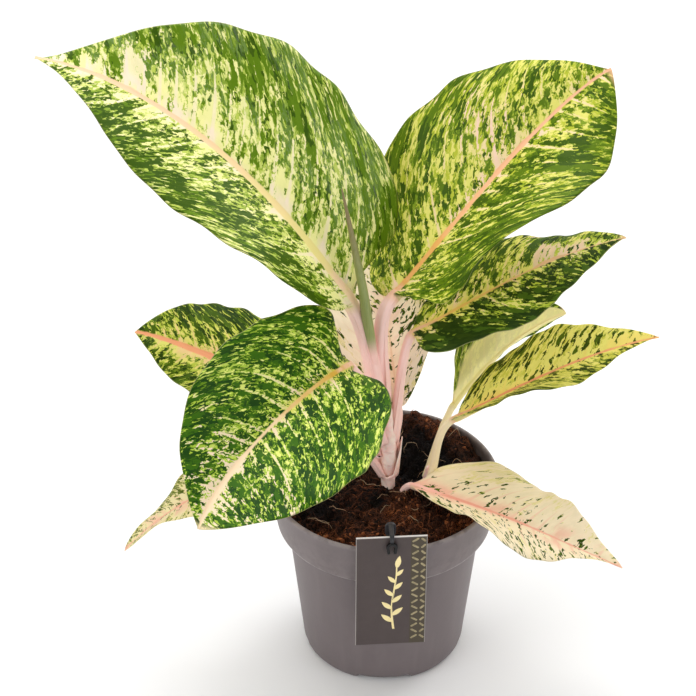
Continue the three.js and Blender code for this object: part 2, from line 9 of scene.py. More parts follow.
# %% The frame
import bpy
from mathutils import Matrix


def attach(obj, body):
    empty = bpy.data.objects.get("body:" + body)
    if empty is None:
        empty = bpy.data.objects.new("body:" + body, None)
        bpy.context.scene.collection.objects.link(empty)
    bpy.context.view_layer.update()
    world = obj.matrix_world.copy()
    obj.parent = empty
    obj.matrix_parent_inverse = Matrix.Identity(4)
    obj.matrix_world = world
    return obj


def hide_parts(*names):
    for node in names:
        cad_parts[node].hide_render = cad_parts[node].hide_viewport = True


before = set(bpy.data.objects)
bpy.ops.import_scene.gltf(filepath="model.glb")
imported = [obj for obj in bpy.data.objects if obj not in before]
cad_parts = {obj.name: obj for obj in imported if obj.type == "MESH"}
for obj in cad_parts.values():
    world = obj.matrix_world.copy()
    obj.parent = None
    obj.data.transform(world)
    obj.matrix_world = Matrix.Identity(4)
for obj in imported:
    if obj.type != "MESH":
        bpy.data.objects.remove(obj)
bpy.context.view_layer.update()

from types import SimpleNamespace

import bmesh
import bpy
import numpy as np
from mathutils import Matrix

MM = 0.001
TURN = 2 * np.pi
print("nodes:", sorted(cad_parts))

# %% [markdown]
# ## Arrays into meshes
#
# Nearly every shape of this plant is a grid: a ring of points carried along a line, or a sheet that is long
# and wide. So one helper turns a grid of points into quads, and one puts points, faces and named attributes
# into an object. The points are written in millimetres, as on a drawing, and become metres once, here.

# %% Helpers for meshes
def unit(vectors):
    """Each vector divided by its own length."""
    return vectors / np.maximum(np.linalg.norm(vectors, axis=-1, keepdims=True), 1e-9)


def smooth(value, low, high):
    """0 below low, 1 above high, and 3t^2 - 2t^3 between them."""
    t = np.clip((value - low) / (high - low), 0, 1)
    return t * t * (3 - 2 * t)


def round_angles(sides):
    """Angles once round, evenly spaced, without the last one that would meet the first."""
    return np.linspace(0, TURN, sides, endpoint=False)


def quads(rows, columns, closed):
    """Vertex numbers of the quads of a grid; a closed grid joins its last column to its first."""
    row, column = np.mgrid[0 : rows - 1, 0 : columns if closed else columns - 1]
    beside = (column + 1) % columns
    corners = [row * columns + column, row * columns + beside]
    corners += [(row + 1) * columns + beside, (row + 1) * columns + column]
    return np.stack(corners, -1).reshape(-1, 4).tolist()


def pipe(rows, sides):
    """The quads of rings joined into a pipe, and one face over each end."""
    last = (rows - 1) * sides
    return quads(rows, sides, True) + [list(range(sides - 1, -1, -1)), list(range(last, last + sides))]


def joined(parts):
    """Points and faces of several (points, faces) pairs as one list of each."""
    firsts = np.cumsum([0] + [len(points) for points, _ in parts]).tolist()
    faces = [[number + first for number in face] for (_, some), first in zip(parts, firsts) for face in some]
    return np.concatenate([points for points, _ in parts]), faces


def new_object(name, points, faces):
    """An object at the origin, from points in millimetres."""
    mesh = bpy.data.meshes.new(name)
    mesh.from_pydata(np.asarray(points).reshape(-1, 3) * MM, [], faces)
    thing = bpy.data.objects.new(name, mesh)
    bpy.context.scene.collection.objects.link(thing)
    return thing


def add_piece(name, points, faces, finish, slot, replaces=(), marks=None, rounded=True):
    """A piece that rides on the root body. marks are attributes, which the finishes read: one number or one
    vector for each point."""
    piece = new_object(name, points, faces)
    mesh = piece.data
    for mark, values in (marks or {}).items():
        values = np.asarray(values, dtype=np.float32)
        kind, key = ("FLOAT", "value") if values.ndim == 1 else ("FLOAT_VECTOR", "vector")
        mesh.attributes.new(mark, kind, "POINT").data.foreach_set(key, values.ravel())
    editable = bmesh.new()
    editable.from_mesh(mesh)
    bmesh.ops.recalc_face_normals(editable, faces=editable.faces)
    editable.to_mesh(mesh)
    editable.free()
    mesh.polygons.foreach_set("use_smooth", np.full(len(mesh.polygons), rounded))
    mesh.materials.append(finish)
    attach(piece, "root")
    for node in replaces:
        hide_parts(node)
    print(name, len(mesh.vertices), "points", len(mesh.polygons), "faces")
    return piece


print("3 rows of 4 points:", len(quads(3, 4, False)), "quads open and", len(quads(3, 4, True)), "closed")

# %% [markdown]
# ## Camera, floor and light
#
# The plant is seen from the front and a little above, through a long lens, so the pot's rim is a flat
# ellipse and its sides hardly run together. Soft light comes from a big panel above, panels at both sides
# and behind, and a bright room, so the leaves have a broad silvery sheen and no hard shadow.

# %% Camera
ELEVATION = np.radians(35.5)
DISTANCE = 1400
AIM = np.array([-19, 0, 187.5])
SENSOR, FOCAL = 36, 143.7

lens = bpy.data.cameras.new("portrait_lens")
lens.sensor_width, lens.lens = SENSOR, FOCAL
lens.clip_start, lens.clip_end = 0.05, 20
camera = bpy.data.objects.new("portrait_camera", lens)
camera.location = (AIM + DISTANCE * np.array([0, -np.cos(ELEVATION), np.sin(ELEVATION)])) * MM
camera.rotation_euler = (np.pi / 2 - ELEVATION, 0, 0)
bpy.context.scene.collection.objects.link(camera)
bpy.context.scene.camera = camera
print("camera at", camera.location[:])

# %% Floor and lights
def soft_panel(name, location, aim, size, power):
    """A square area light of a size in metres that faces a point."""
    light = bpy.data.lights.new(name, "AREA")
    light.shape, light.size, light.energy = "SQUARE", size, power
    panel = bpy.data.objects.new(name, light)
    away = np.array(location, float) - np.array(aim, float)
    side = unit(np.cross((0.0, 1.0, 0.0), away))
    basis = np.stack([side, unit(np.cross(away, side)), unit(away)], -1)
    panel.matrix_world = Matrix.Translation(location) @ Matrix(basis.tolist()).to_4x4()
    bpy.context.scene.collection.objects.link(panel)


soft_panel("top_panel", (-0.15, 0.45, 1.5), (0, 0, 0.2), 1.3, 16)
soft_panel("left_panel", (-1.2, -0.9, 0.9), (0, 0, 0.15), 0.9, 9)
soft_panel("right_panel", (1.3, -0.8, 0.6), (0, 0, 0.1), 0.8, 5)
soft_panel("far_panel", (1.0, 0.9, 0.8), (0.08, 0, 0.18), 0.8, 8)

world = bpy.data.worlds.new("bright_room")
bpy.context.scene.world = world
world.use_nodes = True
room_light = world.node_tree.nodes["Background"].inputs
room_light["Color"].default_value = (1, 1, 1, 1)
room_light["Strength"].default_value = 0.45
bpy.context.scene.view_settings.view_transform = "Standard"

FLOOR_HALF = 3000
floor_corners = FLOOR_HALF * np.array([(-1, -1, 0), (1, -1, 0), (1, 1, 0), (-1, 1, 0)])
floor = new_object("floor", floor_corners, [(0, 1, 2, 3)])
print("panels and floor are set")

# %% [markdown]
# ## A small kit for shader nodes
#
# A finish is a chain of small sums on positions: noise, stretching, thresholds and mixes. These helpers
# place one node each, in the tree that was begun last, so a finish below reads like its recipe. A node's
# output is wrapped as a field, and + - * on fields place a Math node. An effect that several finishes share
# is made a node group, built once, with named inputs.

# %% Shader helpers: nodes and sums
tree = None  # the node tree that the helpers add to; new_group and new_finish begin one


def feed(socket, value):
    """Links a field to a socket, or sets the socket to a plain value."""
    if isinstance(value, Field):
        tree.links.new(value.socket, socket)
    else:
        socket.default_value = value


def add_node(kind, inputs=(), **settings):
    """A node with its settings made, and then its inputs fed: {name or number: value}."""
    node = tree.nodes.new("ShaderNode" + kind)
    for key, value in settings.items():
        setattr(node, key, value)
    for place, value in dict(inputs).items():
        feed(node.inputs[place], value)
    return node


def maths(operation, *values, clamp=False):
    """One Math node on fields or numbers."""
    node = add_node("Math", dict(enumerate(values)), operation=operation, use_clamp=clamp)
    return Field(node.outputs[0])


class Field:
    """A node's output. Its sums with other fields or with numbers are new fields."""

    def __init__(self, socket):
        self.socket = socket

    def __add__(self, other):
        return maths("ADD", self, other)

    def __sub__(self, other):
        return maths("SUBTRACT", self, other)

    def __rsub__(self, other):
        return maths("SUBTRACT", other, self)

    def __mul__(self, other):
        return maths("MULTIPLY", self, other)


def fields(node):
    """All outputs of a node by name."""
    return {output.name: Field(output) for output in node.outputs}


def parts(vector, kind="XYZ"):
    """The three numbers in a vector, or in a colour."""
    return [Field(output) for output in add_node("Separate" + kind, {0: vector}).outputs]

# %% Shader helpers: ramps, mixes and patterns
def ramp(value, low, high):
    """0 where value is below low, 1 above high, smooth between; low may be the greater one."""
    inputs = {"Value": value, "From Min": low, "From Max": high}
    return Field(add_node("MapRange", inputs, interpolation_type="SMOOTHSTEP").outputs[0])


def mixed(share, first, second):
    """A colour that goes from first to second as share goes from 0 to 1."""
    return Field(add_node("Mix", {0: share, 6: first, 7: second}, data_type="RGBA").outputs[2])


def between(share, first, second):
    """A number that goes from first to second as share goes from 0 to 1."""
    return Field(add_node("Mix", {0: share, 2: first, 3: second}, data_type="FLOAT").outputs[0])


def scaled(vector, factors, shift=(0, 0, 0)):
    """A vector times factors, plus a shift."""
    inputs = {0: vector, 1: factors, 2: shift}
    return Field(add_node("VectorMath", inputs, operation="MULTIPLY_ADD").outputs[0])


def noise(vector, detail, roughness, scale=1.0, output="Fac", **settings):
    """Clouds of 0 to 1; detail is how many finer layers are added, roughness how strong they are."""
    inputs = {"Vector": vector, "Scale": scale, "Detail": detail, "Roughness": roughness}
    return fields(add_node("TexNoise", inputs, **settings))[output]


def position():
    """Object coordinates: every piece lies at the origin, so these are places on the plant, in metres."""
    return fields(add_node("TexCoord"))["Object"]


def attribute(name, kind="Fac"):
    """A mark that was put on the mesh: a number, or a vector if kind is Vector."""
    return fields(add_node("Attribute", attribute_name=name))[kind]


def colour(red, green, blue):
    """A paint chip's 0 to 255 values as the linear colour that shaders take."""
    chip = np.array([red, green, blue]) / 255
    linear = np.where(chip <= 0.04045, chip / 12.92, ((chip + 0.055) / 1.055) ** 2.4)
    return (*linear.tolist(), 1.0)


print("a chip of 128 is", round(colour(128, 128, 128)[0], 3), "linear")

# %% Shader helpers: groups and finishes
def new_group(name, inputs, outputs):
    """Begins a node group: {name: default} in, names out. An output named Color is one, the rest numbers."""
    global tree
    tree = bpy.data.node_groups.new(name, "ShaderNodeTree")
    for socket, default in inputs.items():
        kind = {1: "Float", 3: "Vector", 4: "Color"}[np.size(default)]
        made = tree.interface.new_socket(socket, in_out="INPUT", socket_type="NodeSocket" + kind)
        made.default_value = default
    for socket in outputs:
        kind = "Color" if socket == "Color" else "Float"
        tree.interface.new_socket(socket, in_out="OUTPUT", socket_type="NodeSocket" + kind)
    given = fields(tree.nodes.new("NodeGroupInput"))
    return tree, given, tree.nodes.new("NodeGroupOutput").inputs


def use_group(group, **values):
    """A node group placed in the tree; an input's name has _ for each space."""
    inputs = {name.replace("_", " "): value for name, value in values.items()}
    return fields(add_node("Group", inputs, node_tree=group))


def new_finish(name, **constants):
    """Begins a material; constants are set on its Principled shader's own sockets."""
    global tree
    material = bpy.data.materials.new(name)
    material.use_nodes = True
    tree = material.node_tree
    shader = tree.nodes["Principled BSDF"].inputs
    for key, value in constants.items():
        shader[key.replace("_", " ")].default_value = value
    return material, shader


def coat(shader, base, rough=None, height=None, depth=0.0, strength=1.0):
    """Feeds the shader its colour, its roughness, and relief: a height of 0 to 1 and a depth in metres."""
    feed(shader["Base Color"], base)
    if rough:
        feed(shader["Roughness"], rough)
    if height:
        relief = add_node("Bump", {"Height": height, "Distance": depth, "Strength": strength})
        feed(shader["Normal"], fields(relief)["Normal"])

# %% Shared effects
# Mottling: two sizes of noise on a position; out comes a share for mixing two colours.
MOTTLE, given, result = new_group(
    "mottling", {"Vector": (0.0, 0.0, 0.0), "Size": 0.01, "Contrast": 1.0}, ["Share", "Fine"])
by_size = Field(add_node("VectorMath", {0: given["Vector"], 1: given["Size"]}, operation="DIVIDE").outputs[0])
fine = noise(by_size, 2, 0.6, scale=6.3)
both = between(0.35, noise(by_size, 3, 0.55), fine)
feed(result["Share"], maths("ADD", (both - 0.5) * given["Contrast"], 0.5, clamp=True))
feed(result["Fine"], fine)

# Grain: the fine relief of moulded plastic or plant skin, as a height.
GRAIN, given, result = new_group(
    "fine_grain", {"Vector": (0.0, 0.0, 0.0), "Size": 0.0006, "Pits": 0.3}, ["Height"])
by_size = Field(add_node("VectorMath", {0: given["Vector"], 1: given["Size"]}, operation="DIVIDE").outputs[0])
cells = fields(add_node("TexVoronoi", {"Vector": by_size}, feature="SMOOTH_F1"))
feed(result["Height"], between(given["Pits"], noise(by_size, 2, 0.6, scale=1.3), cells["Distance"]))
print("shared effects:", MOTTLE.name, GRAIN.name)


def mottled(where, size, contrast):
    """The mottling at a place in the tree: its share and its finer noise."""
    cloud = use_group(MOTTLE, Vector=where, Size=size, Contrast=contrast)
    return cloud["Share"], cloud["Fine"]


def grain(where, size, pits):
    """The grain's height at a place in the tree."""
    return use_group(GRAIN, Vector=where, Size=size, Pits=pits)["Height"]


floor_finish, shader = new_finish("pale_floor", Roughness=0.6)
share, _ = mottled(position(), 0.4, 1.0)
coat(shader, mixed(share, colour(250, 250, 250), colour(246, 246, 247)))
floor.data.materials.append(floor_finish)

# %% [markdown]
# ## The pot
#
# A nursery pot is blown or moulded from thin plastic: a tapered body, a collar that stiffens the rim, a foot
# ring with four wide gaps that let water out, and a floor with holes. It is a profile turned about the
# middle, so it is made as one: a closed profile of radius and height, carried round in fine steps. Only the
# foot ring changes with the turn: there, the height is the greater of the profile's and the gap's. The
# holes are cut afterwards.

# %% Pot: the shape
# the third number is how worn the edge is and so how much lighter it is painted: wear at the rim and the foot,
# and on the collar's lower edge a painted highlight
PROFILE = [  # radius, height, how worn the edge is
    (0, 0, 0), (11, 0, 0), (12.5, 3.8, 0), (34.3, 3.8, 0), (35.5, 0, 0.3), (39.5, 0, 0.5), (41.2, 0.7, 0.3),
    (42.3, 2.4, 0), (42.9, 5, 0), (43.3, 9, 0), (50.8, 78.6, 0), (51, 79.3, 0), (55.9, 79.8, 0.9),
    (56.3, 80.5, 0.9), (56.5, 81.4, 0.3), (59.6, 102, 0), (60, 103.4, 0.5), (59.8, 104.5, 1), (59.2, 105, 1),
    (58.4, 104.8, 0.8), (57.9, 103.5, 0.2), (57.8, 101, 0), (54.8, 81.6, 0), (49.6, 79.6, 0), (41.6, 9, 0),
    (38.6, 5.4, 0), (0, 5.4, 0),
]
PROFILE_STEP, POT_SIDES = 3, 360
INNER_LIP = 103.5  # above this height the inside is still clean
FOOT_INNER, FOOT_TOP, FOOT_MIDDLE = 34.4, 5, 40
FEET, GAP_HALF, GAP_SLANT, GAP_RISE = 4, 15.2, 2.8, 3.4


def fine_profile(corners, spacing):
    """The corners joined by straight steps no longer than the spacing, with the corners kept."""
    corners = np.array(corners, float)
    stretches = []
    for start, end in zip(corners[:-1], corners[1:]):
        steps = max(int(np.ceil(np.linalg.norm(end[:2] - start[:2]) / spacing)), 1)
        stretches.append(start + (end - start) * np.linspace(0, 1, steps, endpoint=False)[:, None])
    return np.concatenate(stretches + [corners[-1:]])


def turned(profile, sides):
    """Each profile point (r, z) carried round: x = r sin(turn), y = -r cos(turn), z = z."""
    angle = round_angles(sides)[None, :]
    radius, height = profile[:, 0][:, None], profile[:, 1][:, None] + 0 * angle
    return np.stack([radius * np.sin(angle), -radius * np.cos(angle), height], -1), angle


def closed_lathe(grid):
    """Points and faces of a turned grid whose first and last ring are single points on the axis."""
    rows, columns = grid.shape[:2]
    ring = np.arange(columns)
    beside, far = (ring + 1) % columns, (rows - 3) * columns
    foot, crown = np.full(columns, (rows - 2) * columns), np.full(columns, (rows - 2) * columns + 1)
    faces = quads(rows - 2, columns, True) + np.stack([beside, ring, foot], -1).tolist()
    faces += np.stack([far + ring, far + beside, crown], -1).tolist()
    return np.concatenate([grid[1:-1].reshape(-1, 3), grid[:1, 0], grid[-1:, 0]]), faces


def ring_mark(values, sides):
    """A mark for a closed lathe from one value for each profile point; it is 0 on the axis."""
    return np.concatenate([np.repeat(values, sides), [0, 0]])


profile = fine_profile(PROFILE, PROFILE_STEP)
pot_grid, angle = turned(profile, POT_SIDES)
# the gaps: measured along the ring from the middle of each; flat on top, slanted at both ends
gap_turn = (angle * FEET / TURN + 0.5) % 1 - 0.5
along = np.abs(gap_turn) * TURN / FEET * FOOT_MIDDLE
gap = GAP_RISE * smooth(GAP_HALF - along, 0, GAP_SLANT)
on_foot = (profile[:, 0] > FOOT_INNER)[:, None] & (profile[:, 1] < FOOT_TOP)[:, None]
pot_grid[..., 2] = np.where(on_foot, np.maximum(pot_grid[..., 2], gap), pot_grid[..., 2])
print("pot profile", len(profile), "points; feet", FEET)

# %% [markdown]
# ### Taupe plastic
#
# The plastic is a warm grey, matte on its sides and a little polished where hands and trays rub the rim. The
# worn edges are painted lighter: wear at the rim and the foot, and a painted highlight along the collar's
# lower edge.
# It shows a soft cloudiness from recycled stock, a fine grain, faint upright flow marks that are painted a
# little lighter as a satin highlight, and a film of soil dust inside the rim. Cloudiness and grain are the two
# shared groups, read at the piece's own places.

# %% Pot: the finish
pot_finish, shader = new_finish("taupe_plastic", Specular_IOR_Level=0.4)
where = position()
cloud, fine = mottled(where, 0.03, 1.6)
# upright flow marks: a faint relief, and lighter streaks that are partly a painted satin highlight
flow_and_sheen = noise(scaled(where, (150, 150, 7)), 3, 0.55)
body = mixed(cloud, colour(104, 94, 95), colour(116, 106, 107))
body = mixed(ramp(flow_and_sheen, 0.45, 0.75) * 0.25, body, colour(126, 116, 117))
# the edges are painted lighter and made glossier: wear at the rim and the foot, and a painted highlight along
# the collar's lower edge
wear_and_highlight = attribute("edge") * ramp(fine, 0.3, 0.6)
body = mixed(wear_and_highlight * 0.45, body, colour(158, 148, 145))
body = mixed(attribute("inside") * ramp(cloud, 0.25, 0.7), body, colour(74, 58, 50))
rough = between(wear_and_highlight, between(cloud, 0.42, 0.56), 0.34)
coat(shader, body, rough, flow_and_sheen * 0.6 + grain(where, 0.0007, 0.4), 0.00006, 0.6)

past_lip = np.cumsum(profile[1:-1, 1] > INNER_LIP) > 0
marks = {"edge": ring_mark(profile[1:-1, 2], POT_SIDES),
         "inside": ring_mark((past_lip & (profile[1:-1, 1] < INNER_LIP)).astype(float), POT_SIDES)}
pot = add_piece("nursery_pot", *closed_lathe(pot_grid), pot_finish, "pot_plastic", ["pot"], marks)

# %% Pot: the drainage holes
HOLES, HOLE_RING, HOLE_RADIUS, DRILL_LENGTH, DRILL_SIDES = 6, 24, 3.5, 8, 28


def bored(piece, places, radius, height):
    """Cuts round holes through a piece with one boolean, and keeps the result as its mesh."""
    turn = round_angles(DRILL_SIDES)
    drills = []
    for x, y in places:
        ring = np.stack([x + radius * np.cos(turn), y + radius * np.sin(turn), 0 * turn], -1)
        drills.append((np.concatenate([ring - (0, 0, 1), ring + (0, 0, height)]), pipe(2, DRILL_SIDES)))
    drill = new_object("drill", *joined(drills))
    cut = piece.modifiers.new("holes", "BOOLEAN")
    cut.operation, cut.solver, cut.object = "DIFFERENCE", "EXACT", drill
    bpy.context.view_layer.update()
    result = bpy.data.meshes.new_from_object(piece.evaluated_get(bpy.context.evaluated_depsgraph_get()))
    piece.modifiers.clear()
    piece.data = result
    bpy.data.objects.remove(drill)


turn = np.arange(HOLES) / HOLES * TURN
bored(pot, HOLE_RING * np.stack([np.cos(turn), np.sin(turn)], -1), HOLE_RADIUS, DRILL_LENGTH)
print("pot after boring", len(pot.data.vertices), "points")

# %% [markdown]
# ## The compost
#
# The soil is bark, peat and coir: dark brown, rusty where bark crumbs lie open, with a heap at the back, a
# hollow beside the stem, and fine roots and fibres on top. Painted shade makes it nearly black in the hollow
# beside the stem and under the leaves. A surface of heights carries the heaps and crumbs. Loose crumbs and
# fibres are pieces of their own, each drawn from one seed.

# %% Soil: the heights
SOIL_LEVEL, SOIL_EDGE, RIM_DIP = 99, 55.9, 0.6
# each form: x, y, rise, spread; each spot: x, y, spread
SOIL_FORMS = [(20, 44, 4.5, 26), (40, 38, 3, 15), (19, 51, 5, 11), (13, 14, -6, 9), (-35, -35, -2, 22)]
# spots of painted shade: the compost is painted near-black in the hollows beside the stem and under the leaves
PAINTED_SHADE_SPOTS = [(16, 30, 14), (17, 12, 12), (28, 20, 10), (-4, -12, 6), (-34, -16, 12), (-14, 34, 14)]
RUST_SPOTS = [(-12, -50, 10), (36, -38, 11), (44, -30, 7), (8, -22, 12), (30, 46, 16), (-30, -40, 7)]
TABLE = 64


def lattice(x, y, size, seed):
    """Smooth random heights from -1 to 1: random numbers on a square lattice, joined by s-curves."""
    table = np.random.default_rng(seed).uniform(-1, 1, (TABLE, TABLE))
    across, up = x / size + 10 * TABLE, y / size + 10 * TABLE
    i, j = np.floor(across).astype(int), np.floor(up).astype(int)
    a, b = smooth(across - i, 0, 1), smooth(up - j, 0, 1)
    corner = lambda di, dj: table[(i + di) % TABLE, (j + dj) % TABLE]
    low = corner(0, 0) * (1 - b) + corner(0, 1) * b
    high = corner(1, 0) * (1 - b) + corner(1, 1) * b
    return low * (1 - a) + high * a


def bell(x, y, middle_x, middle_y, spread):
    """exp(-(d/spread)^2) of the distance d from a middle."""
    return np.exp(-((x - middle_x) ** 2 + (y - middle_y) ** 2) / spread**2)


def soil_height(x, y):
    """The level, plus a bell for each form, plus waves, plus three sizes of lattice."""
    height = SOIL_LEVEL + sum(rise * bell(x, y, a, b, spread) for a, b, rise, spread in SOIL_FORMS)
    height = height + 1.1 * (np.sin(0.42 * x + 1) * np.cos(0.37 * y) + 0.6 * np.sin(0.8 * x - 0.6 * y))
    return height + 0.9 * lattice(x, y, 5, 1) + 0.7 * lattice(x, y, 2.2, 2) + 0.4 * lattice(x, y, 1, 3)


def rim_dip(x, y):
    """How far the soil sinks where it meets the pot."""
    return RIM_DIP * smooth(np.hypot(x, y), 50, 56)


def wet(x, y):
    """How much painted shade darkens the compost: bells round the hollows beside the stem and under the
    leaves.
    """
    bells = sum(bell(x, y, *spot) for spot in PAINTED_SHADE_SPOTS)
    return np.clip(bells * (1.2 + 0.4 * lattice(x, y, 3, 8)), 0, 1)


def rust(x, y):
    """How rusty the compost is: bells round the open crumbs at the front, broken up by a lattice."""
    bells = sum(bell(x, y, *spot) for spot in RUST_SPOTS)
    return np.clip(bells * (0.75 + 0.6 * lattice(x, y, 4, 4)), 0, 1)


print("heights of heap and hollow:", soil_height(np.array([19.0, 13.0]), np.array([51.0, 14.0])).round(1))

# %% Soil: the body
SOIL_SIDES, RIM_ROWS = 300, 100
rim_rows = SOIL_EDGE * np.linspace(1, 0, RIM_ROWS) ** 0.8
soil_wall = [(0, 5.7), (38.3, 5.7), (41.2, 9.4), (49.2, 79.8), (54.4, 82.0)]
soil_profile = np.array(soil_wall + [(radius, SOIL_LEVEL) for radius in rim_rows])
soil_grid, _ = turned(soil_profile, SOIL_SIDES)
top = soil_grid[len(soil_wall):]
top[..., 2] = soil_height(top[..., 0], top[..., 1]) - rim_dip(top[..., 0], top[..., 1])
soil_grid[-1] = soil_grid[-1].mean(0)
soil_points, soil_faces = closed_lathe(soil_grid)
print("soil from", soil_points[:, 2].min(), "to", soil_points[:, 2].max(), "mm")

# %% [markdown]
# ### Wet crumbs
#
# Wet compost is dark and dull, with a gleam on single crumbs. Two sizes of noise pick between black, brown
# and rust, the rust mark pulls open places towards orange, painted shade blackens the hollows beside the stem
# and under the leaves, and a strong fine relief breaks up the light. The same recipe, with paler chips,
# colours the loose crumbs and fibres through their tone mark, which the painted shade darkens too.

# %% Soil: the finishes
soil_finish, shader = new_finish("moist_compost", Specular_IOR_Level=0.15)
where = position()
crumbs, fine = mottled(where, 0.0035, 2.4)
shade = mixed(ramp(crumbs, 0.35, 0.75), colour(7, 3, 2), colour(60, 34, 21))
open_bark = mixed(ramp(fine, 0.4, 0.65), colour(84, 42, 20), colour(172, 96, 50))
shade = mixed(attribute("rust") * ramp(fine, 0.42, 0.62), shade, open_bark)
# painted shade: the compost is painted near-black where the stem and the leaves shade it
shade = mixed(attribute("wet") * 0.95, shade, colour(5, 2, 1))
coat(shader, shade, between(ramp(fine, 0.5, 0.7), 0.9, 0.55), grain(where, 0.0009, 0.6), 0.0009)

x, y, z = soil_points.T
marks = {"rust": np.where(z > 90, rust(x, y), 0), "wet": np.where(z > 90, wet(x, y), 0)}
add_piece("compost", soil_points, soil_faces, soil_finish, "soil", ["soil"], marks)

crumb_finish, shader = new_finish("bark_and_fibre", Specular_IOR_Level=0.2)
speckle, _ = mottled(position(), 0.0012, 2.0)
tone = (speckle - 0.5) * 0.35 + attribute("tone")
dark = mixed(ramp(tone, 0.0, 0.45), colour(7, 3, 2), colour(82, 45, 27))
warm = mixed(ramp(tone, 0.45, 0.75), dark, colour(176, 104, 62))
straw = mixed(ramp(tone, 0.78, 1.0), warm, colour(206, 178, 146))
coat(shader, straw, between(speckle, 0.9, 0.6), grain(position(), 0.0004, 0.5), 0.0003, 0.8)

# %% Soil: loose crumbs
CRUMB_REACH, BALL_POINTS = 54.5, 18


def crumb_ball():
    """A ball of 18 points and 32 faces: eight triangles between six poles, each cut into four."""
    poles = np.array([(1, 0, 0), (-1, 0, 0), (0, 1, 0), (0, -1, 0), (0, 0, 1), (0, 0, -1)], float)
    triangles = [(a, b, c) for a in (0, 1) for b in (2, 3) for c in (4, 5)]
    pairs = sorted({tuple(sorted(pair)) for a, b, c in triangles for pair in ((a, b), (b, c), (a, c))})
    middles = {pair: 6 + number for number, pair in enumerate(pairs)}
    faces = []
    for a, b, c in triangles:
        ab, bc, ac = middles[a, b], middles[b, c], middles[a, c]
        faces += [(a, ab, ac), (ab, b, bc), (ac, bc, c), (ab, bc, ac)]
    return np.concatenate([poles, unit(np.array([poles[a] + poles[b] for a, b in pairs]))]), np.array(faces)


def strewn(rng, count, reach):
    """Places spread evenly over a disc: the radius is the root of chance."""
    radius, around = reach * np.sqrt(rng.random(count)), TURN * rng.random(count)
    return radius * np.cos(around), radius * np.sin(around)


def crumbs_of_bark(count, seed, sizes):
    """Bumpy flakes: one ball, stretched, dented and turned for each crumb."""
    rng = np.random.default_rng(seed)
    ball, ball_faces = crumb_ball()
    turn = np.linalg.qr(rng.normal(size=(count, 3, 3)))[0]
    size = sizes[0] + (sizes[1] - sizes[0]) * rng.random(count) ** 2.5
    middling, thin = rng.uniform(0.4, 0.8, count), rng.uniform(0.25, 0.5, count)
    shape = size[:, None] * np.stack([np.ones(count), middling, thin], -1)
    dents = 1 + rng.uniform(-0.28, 0.28, (count, BALL_POINTS, 1))
    flakes = np.einsum("nij,nkj->nki", turn, ball * dents * shape[:, None] / 2)
    x, y = strewn(rng, count, CRUMB_REACH)
    z = soil_height(x, y) + 0.1 * size - rim_dip(x, y)
    points = flakes + np.stack([x, y, z], -1)[:, None]
    # a crumb's tone is random, rustier on open bark, and darker under the painted shade
    tone = np.clip(rng.normal(0.26, 0.17, count) + 0.5 * rust(x, y) - 0.55 * wet(x, y), 0, 0.85)
    faces = (ball_faces[None] + BALL_POINTS * np.arange(count)[:, None, None]).reshape(-1, 3)
    return points.reshape(-1, 3), faces.tolist(), np.repeat(tone, BALL_POINTS)


points, faces, tone = crumbs_of_bark(4200, 5, (0.7, 3.2))
add_piece("bark_crumbs", points, faces, crumb_finish, "soil", marks={"tone": tone}, rounded=False)

# %% Soil: fibres and roots
FIBRE_REACH, FIBRE_EDGE, KNOTS, FIBRE_SIDES = 52, 54.6, 10, 5


def fibres(count, seed, length, thick, lift, tones):
    """Thin tubes on the soil. A fibre's heading turns steadily with a little chance at each knot; its place
    is the running sum of its headings; it lies on the heights, and arches up by lift sin(pi t)."""
    rng = np.random.default_rng(seed)
    share = np.linspace(0, 1, KNOTS)
    reach = rng.uniform(*length, count)
    heading = TURN * rng.random((count, 1)) + rng.normal(0, 1.5, (count, 1)) * share
    heading = heading + np.cumsum(rng.normal(0, 0.22, (count, KNOTS)), 1)
    stride = np.stack([np.cos(heading), np.sin(heading)], -1) * (reach / KNOTS)[:, None, None]
    flat = np.stack(strewn(rng, count, FIBRE_REACH), -1)[:, None] + np.cumsum(stride, 1)
    flat *= np.minimum(1, FIBRE_EDGE / np.maximum(np.linalg.norm(flat, axis=-1, keepdims=True), 1))
    rise = rng.uniform(0.3, 1, (count, 1)) * lift * np.sin(np.pi * share)
    z = soil_height(flat[..., 0], flat[..., 1]) + 0.25 + rise
    centre = np.concatenate([flat, z[..., None]], -1)
    along = unit(np.gradient(centre, axis=1))
    side = unit(np.cross(along, (0.0, 0.0, 1.0)))
    width = rng.uniform(*thick, (count, 1)) * (1 - 0.6 * np.abs(2 * share - 1) ** 3)
    angle = round_angles(FIBRE_SIDES)[:, None]
    ring = side[:, :, None] * np.cos(angle) + np.cross(side, along)[:, :, None] * np.sin(angle)
    points = centre[:, :, None] + ring * width[:, :, None, None]
    first = FIBRE_SIDES * KNOTS * np.arange(count)
    sides = (np.array(quads(KNOTS, FIBRE_SIDES, True)) + first[:, None, None]).reshape(-1, 4).tolist()
    end = np.arange(FIBRE_SIDES)
    caps = (first[:, None] + end[::-1]).tolist() + (first[:, None] + FIBRE_SIDES * (KNOTS - 1) + end).tolist()
    tone = rng.uniform(*tones, (count, 1)) + 0 * share
    # fibres that are not pale straws are darkened by the painted shade
    tone = np.where(tone < 0.7, tone * (1 - 0.9 * wet(flat[..., 0], flat[..., 1])), tone)
    return points.reshape(-1, 3), sides + caps, np.repeat(tone, FIBRE_SIDES)


